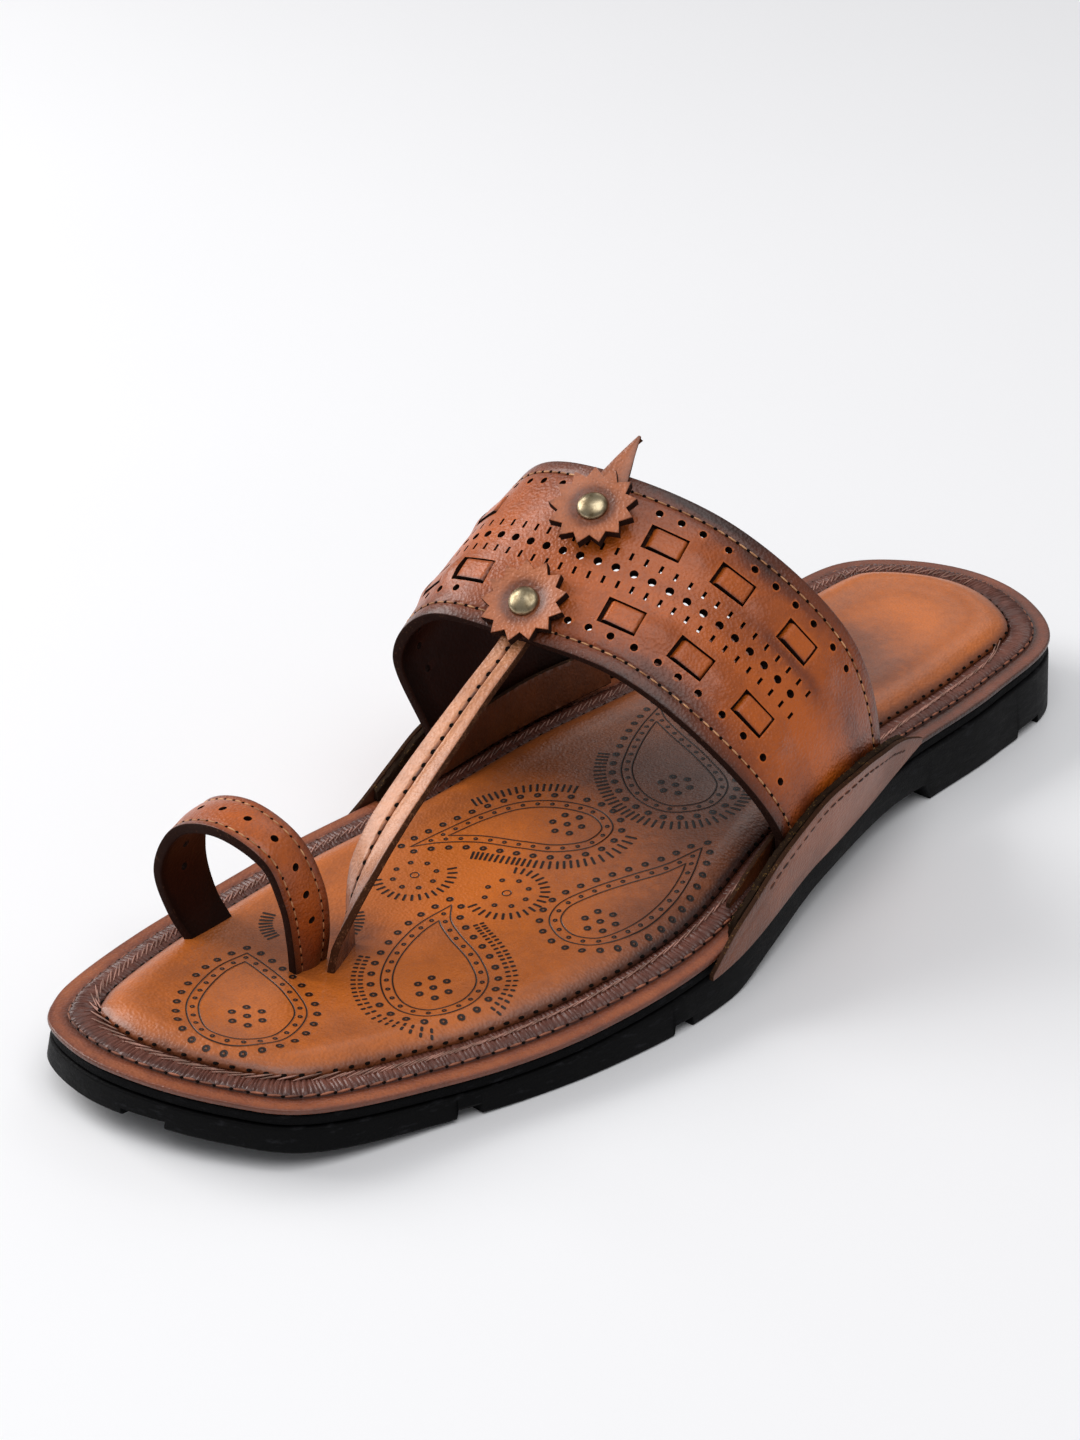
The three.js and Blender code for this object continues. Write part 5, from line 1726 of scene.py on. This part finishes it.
def build_fittings():
    """The rosettes, the rivets and the strap's pointed end."""
    rear = local(band, *RIVETS["rear"])
    fittings = (
        ("front", GAP, BAND_THICKNESS - JOIN + STRAP_THICKNESS + CAP_CLEARANCE),
        ("rear", GAP + POINT_THICKNESS + GAP, BAND_THICKNESS + CAP_CLEARANCE),
    )
    for name, height, back in fittings:
        spot = local(band, *RIVETS[name])
        seat(build_rosette(f"{name}_rosette", spot, height), "leather", f"rosette_{name}")
        rivet = build_rivet(f"{name}_rivet", spot, height + ROSETTE_THICKNESS + GAP - PRESSED_IN, back)
        seat(rivet, "brass", f"rivet_{name}")
    turn = math.radians(POINT_TURN)
    side = column({"along": POINT_SIDE["along"], "side": POINT_SIDE["side"]}, "side")

    def point_face(run, across):
        share = mix(POINT_SIDE["along"][0], 1, np.clip(run, 0, 1))
        half = side(share) * POINT_WIDTH / 2
        x = (np.asarray(across, float) - 0.5) * 2 * half + 1.2 * np.clip(share, 0, 1) ** 3
        y = share * POINT_LENGTH
        curl = 0.9 * np.clip(share, 0, 1) ** 2 - 0.3 * ((np.asarray(across, float) - 0.5) * 2) ** 2
        sine, cosine = math.sin(turn), math.cos(turn)
        flat = np.stack([x * cosine - y * sine, x * sine + y * cosine], -1)
        height = GAP + POINT_THICKNESS + curl * np.ones_like(x)
        return placed(rear, np.concatenate([flat, height[..., None]], -1))

    point = strip(
        "strap_tip", point_face, POINT_THICKNESS,
        ("rosette leather", "strap edge", "strap edge"),
        np.linspace(0, 0.96, 50), (), 10, 0.12, None,
        lambda run, wide, width: 0.15 + 0.35 * np.exp(-wide / 0.6) + 0.35 * np.exp(-(width - wide) / 0.6), -1,
    )
    seat(point, "leather", "strap_point")


def build_stitching(pitch, size):
    """Thread, and the pricks that it passes through, the pricks as near-black forms of painted shade in each
    hole.
    """

    def on(surface, runs, shares, flip=1):
        place, along, out = frames(surface, runs, shares)
        return place, along, out * flip

    def row_of(name, rows, drop, slot, *form):
        place, along, out = (np.vstack(part) for part in zip(*rows))
        seat(small_row(name, place - out * drop, along, out, *form), slot)

    def stitches(name, rows, finish, length, drop, seed, width=size):
        row_of(name, rows, drop, "leather", finish, length, width, size, 0.1, seed)

    # Pricks are near-black forms: painted shade inside each stitch hole.
    def pricks(name, rows, radius, drop):
        row_of(name, rows, drop, "dark_leather", "prick", radius, radius, 0.5, 0.15, 4)

    seams = (
        ("band", band, STITCH_ROW, 0.03, 0.8, 0.2, 0.85, 0.22),
        ("loop", loop, LOOP_STITCH_ROW, 0.02, 0.78, 0.16, 0.8, 0.18),
    )
    for seed, (name, surface, row, clear, share, sunk, prick, prick_sunk) in enumerate(seams, 1):
        threads, holes = [], []
        for from_rear in (False, True):
            runs, shares = row_places(surface, row, pitch, clear, 1 - clear, from_rear)
            half = (runs[1:] + runs[:-1]) / 2
            threads.append(on(surface, runs, shares))
            holes.append(on(surface, half, np.interp(half, runs, shares)))
        stitches(f"{name}_stitches", threads, "thread", pitch * share, sunk, seed, FINE_THREAD)
        pricks(f"{name}_pricks", holes, prick, prick_sunk)
    runs, _ = row_places(centre_strap, 4, 3.6, 0.2, 0.99)
    stitches("strap_stitches", [on(centre_strap, runs, 0.5)], "strap thread", 3.1, 0.2, 3, 0.7)
    pricks("strap_pricks", [on(centre_strap, (runs[1:] + runs[:-1]) / 2, 0.5)], 1.3, 0.12)
    for number, (name, flap) in enumerate(FLAPS.items()):
        face = flap_face(name, 0, flap["rows"]["along"][0], flap["rows"]["along"][-1])
        runs, shares = row_places(face, STITCH_ROW, pitch, 0.1, 0.8, True)
        keep = shares > 0.35
        row = on(face, runs[keep], shares[keep], -flap["side"])
        stitches(f"flap_stitches_{name}", [row], "dark thread", pitch * 0.82, 0.1, 5 + number)

    def upright(flat, directions, rise):
        """Places over the rim's top, their directions and straight up."""
        place = with_height(flat, rim_top(along_at(flat[:, 1])) + rise)
        return place, with_height(directions, 0), np.tile((0.0, 0, 1), (len(flat), 1))

    place, along, out = upright(*even_points(outline(-RIM_WIDTH - 0.1), RIM_PITCH), GAP + 0.25)
    stitches("rim_stitches", [(place, along, out)], "rim thread", 3.1, 0, 7)
    pricks("rim_pricks", [((place + np.roll(place, -1, 0)) / 2, along, out)], 0.85, 0.1)
    row = upright(*even_points(outline(-PAD_INSET - 0.25), RIM_PITCH), PAD_EDGE + 0.5)
    pricks("pad_pricks", [row], 1.35, 0)
    outer, _ = even_points(outline(-RIM_WIDTH - 0.4), RIM_PITCH)
    inner, _ = even_points(outline(-PAD_INSET + 0.3), RIM_PITCH)
    count = min(len(outer), len(inner))
    spots, directions = [], []
    for k in range(count):
        for turn in (0, 1):
            target = outline_point(inner, (k + turn) / count)
            spots.append((outer[k] + target) / 2)
            directions.append(target - outer[k])
    row = upright(np.array(spots), unit(np.array(directions)), GAP + BORDER_RISE + 0.12)
    row_of("border_threads", [row], 0, "dark_leather", "border thread", 5.2, 0.34, 0.45, 0.2, 9)


def outline_point(line, share):
    """The point at a share of a closed line."""
    place = (share % 1) * len(line)
    i = int(place) % len(line)
    return mix(line[i], line[(i + 1) % len(line)], place - int(place))


def build_stage():
    """Floor, soft lights and the camera at the photograph's angle."""
    scene = bpy.context.scene
    half = 6 / MM
    corners = with_height(box_of(-half, half, -half, half), 0) - SHIFT
    floor = make("floor", corners, [(0, 1, 2, 3)], (), smooth=30)
    material, t = new_material("pale_floor", rgb("f2f2f4"))
    soft = t.noise(t.node("ShaderNodeTexCoord").outputs["Object"], 3.0, 2.0)
    color = t.blend(soft, rgb("f4f4f6"), rgb("f8f8fa"))
    finish_material(t, {"Base Color": color, "Roughness": 0.6})
    floor.data.materials.append(material)
    world = bpy.data.worlds.new("studio")
    world.use_nodes = True
    background = world.node_tree.nodes["Background"]
    background.inputs["Color"].default_value = (0.97, 0.98, 1, 1)
    background.inputs["Strength"].default_value = 0.32
    scene.world = world
    azimuth, elevation = math.radians(CAMERA["azimuth"]), math.radians(CAMERA["elevation"])
    level = math.cos(elevation)
    back = Vector((math.sin(azimuth) * level, -math.cos(azimuth) * level, math.sin(elevation)))
    right = (-back).cross(Vector((0, 0, 1))).normalized()
    up = right.cross(-back)
    roll = math.radians(CAMERA["roll"])
    turned_right = right * math.cos(roll) + up * math.sin(roll)
    turned_up = up * math.cos(roll) - right * math.sin(roll)
    place = (Vector(CAMERA["target"]) + back * CAMERA["distance"] + Vector(SHIFT)) * MM
    camera = bpy.data.objects.new("camera", bpy.data.cameras.new("camera"))
    camera.data.lens = CAMERA["lens"]
    camera.data.clip_start, camera.data.clip_end = 0.01, 20
    turn = Matrix((turned_right, turned_up, back)).transposed().to_4x4()
    camera.matrix_world = Matrix.Translation(place) @ turn
    scene.collection.objects.link(camera)
    scene.camera = camera
    lights = (
        ("key", (-1.3, -0.45, 0.9), 1.0, 18, (1, 0.99, 0.975)),
        ("top", (0.5, -0.3, 1.7), 1.5, 15, (1, 1, 1)),
        ("back", (-0.5, 1.2, 1.2), 0.8, 2, (1, 1, 1)),
    )
    for name, where, size, power, color in lights:
        data = bpy.data.lights.new(name, "AREA")
        data.shape, data.size, data.energy, data.color = "SQUARE", size, power, color
        lamp = bpy.data.objects.new(name, data)
        lamp.location = where
        lamp.rotation_euler = (Vector((0, 0, 0.03)) - Vector(where)).to_track_quat("-Z", "Y").to_euler()
        scene.collection.objects.link(lamp)
    scene.view_settings.view_transform = "Standard"


class SandalSettings(bpy.types.PropertyGroup):
    stitch_pitch: bpy.props.FloatProperty(
        name="Stitch pitch", description="From one stitch of the straps to the next, in millimetres",
        default=2.9, min=1,
    )
    thread_size: bpy.props.FloatProperty(
        name="Thread size", description="Thickness of the sewing thread, in millimetres",
        default=0.55, min=0.1,
    )
    pleat_pitch: bpy.props.FloatProperty(
        name="Pleat pitch", description="From one pleat of the border to the next, in millimetres",
        default=1.05, min=0.4,
    )
    pleat_depth: bpy.props.FloatProperty(
        name="Pleat depth", description="Height of the border's pleats, in millimetres",
        default=0.5, min=0,
    )


class PieceOperator(bpy.types.Operator):
    """A group of the sandal's pieces"""

    bl_options = {"REGISTER", "UNDO"}

    def execute(self, context):
        before = set(bpy.data.objects)
        self.build(context.scene.sandal)
        if set(bpy.data.objects) == before:
            raise RuntimeError(f"{self.bl_label} made nothing")
        return {"FINISHED"}


class SANDAL_OT_sole(PieceOperator):
    """Outsole, midsole and footbed rim"""

    bl_idname, bl_label = "sandal.sole", "Sole"

    def build(self, settings):
        build_sole()


class SANDAL_OT_border(PieceOperator):
    """The crimped border strip"""

    bl_idname, bl_label = "sandal.border", "Border"

    def build(self, settings):
        build_border(settings.pleat_pitch, settings.pleat_depth)


class SANDAL_OT_pad(PieceOperator):
    """The padded insole with its pressed print"""

    bl_idname, bl_label = "sandal.pad", "Insole pad"

    def build(self, settings):
        build_print(build_pad())


class SANDAL_OT_band(PieceOperator):
    """The instep band with its holes and woven windows"""

    bl_idname, bl_label = "sandal.band", "Instep band"

    def build(self, settings):
        build_band()


class SANDAL_OT_straps(PieceOperator):
    """The centre strap and the toe loop"""

    bl_idname, bl_label = "sandal.straps", "Centre strap and toe loop"

    def build(self, settings):
        build_strap()
        build_loop()


class SANDAL_OT_flaps(PieceOperator):
    """The side flaps and their plies"""

    bl_idname, bl_label = "sandal.flaps", "Side flaps"

    def build(self, settings):
        build_flaps()


class SANDAL_OT_fittings(PieceOperator):
    """Rosettes, rivets and the strap's point"""

    bl_idname, bl_label = "sandal.fittings", "Fittings"

    def build(self, settings):
        build_fittings()


class SANDAL_OT_stitching(PieceOperator):
    """Threads and pricks of all seams"""

    bl_idname, bl_label = "sandal.stitching", "Stitching"

    def build(self, settings):
        build_stitching(settings.stitch_pitch, settings.thread_size)


class SANDAL_OT_stage(PieceOperator):
    """Floor, lights and camera"""

    bl_idname, bl_label = "sandal.stage", "Stage"

    def build(self, settings):
        build_stage()


class SANDAL_PT_panel(bpy.types.Panel):
    """The sandal's settings and pieces"""

    bl_label = "Sandal"
    bl_idname = "SANDAL_PT_panel"
    bl_space_type = "VIEW_3D"
    bl_region_type = "UI"
    bl_category = "Sandal"

    def draw(self, context):
        for name in ("stitch_pitch", "thread_size", "pleat_pitch", "pleat_depth"):
            self.layout.prop(context.scene.sandal, name)
        for operator in OPERATORS:
            self.layout.operator(operator.bl_idname)


OPERATORS = (
    SANDAL_OT_stage,
    SANDAL_OT_sole,
    SANDAL_OT_border,
    SANDAL_OT_pad,
    SANDAL_OT_band,
    SANDAL_OT_straps,
    SANDAL_OT_flaps,
    SANDAL_OT_fittings,
    SANDAL_OT_stitching,
)
CLASSES = (SandalSettings, *OPERATORS, SANDAL_PT_panel)


def register():
    for each in CLASSES:
        bpy.utils.register_class(each)
    bpy.types.Scene.sandal = bpy.props.PointerProperty(type=SandalSettings)


def unregister():
    del bpy.types.Scene.sandal
    for each in reversed(CLASSES):
        bpy.utils.unregister_class(each)


def main():
    register()
    for operator in OPERATORS:
        group, name = operator.bl_idname.split(".")
        if getattr(getattr(bpy.ops, group), name)() != {"FINISHED"}:
            raise RuntimeError(f"{operator.bl_label} wasn't finished")
    bpy.context.view_layer.update()


if __name__ == "__main__":
    main()
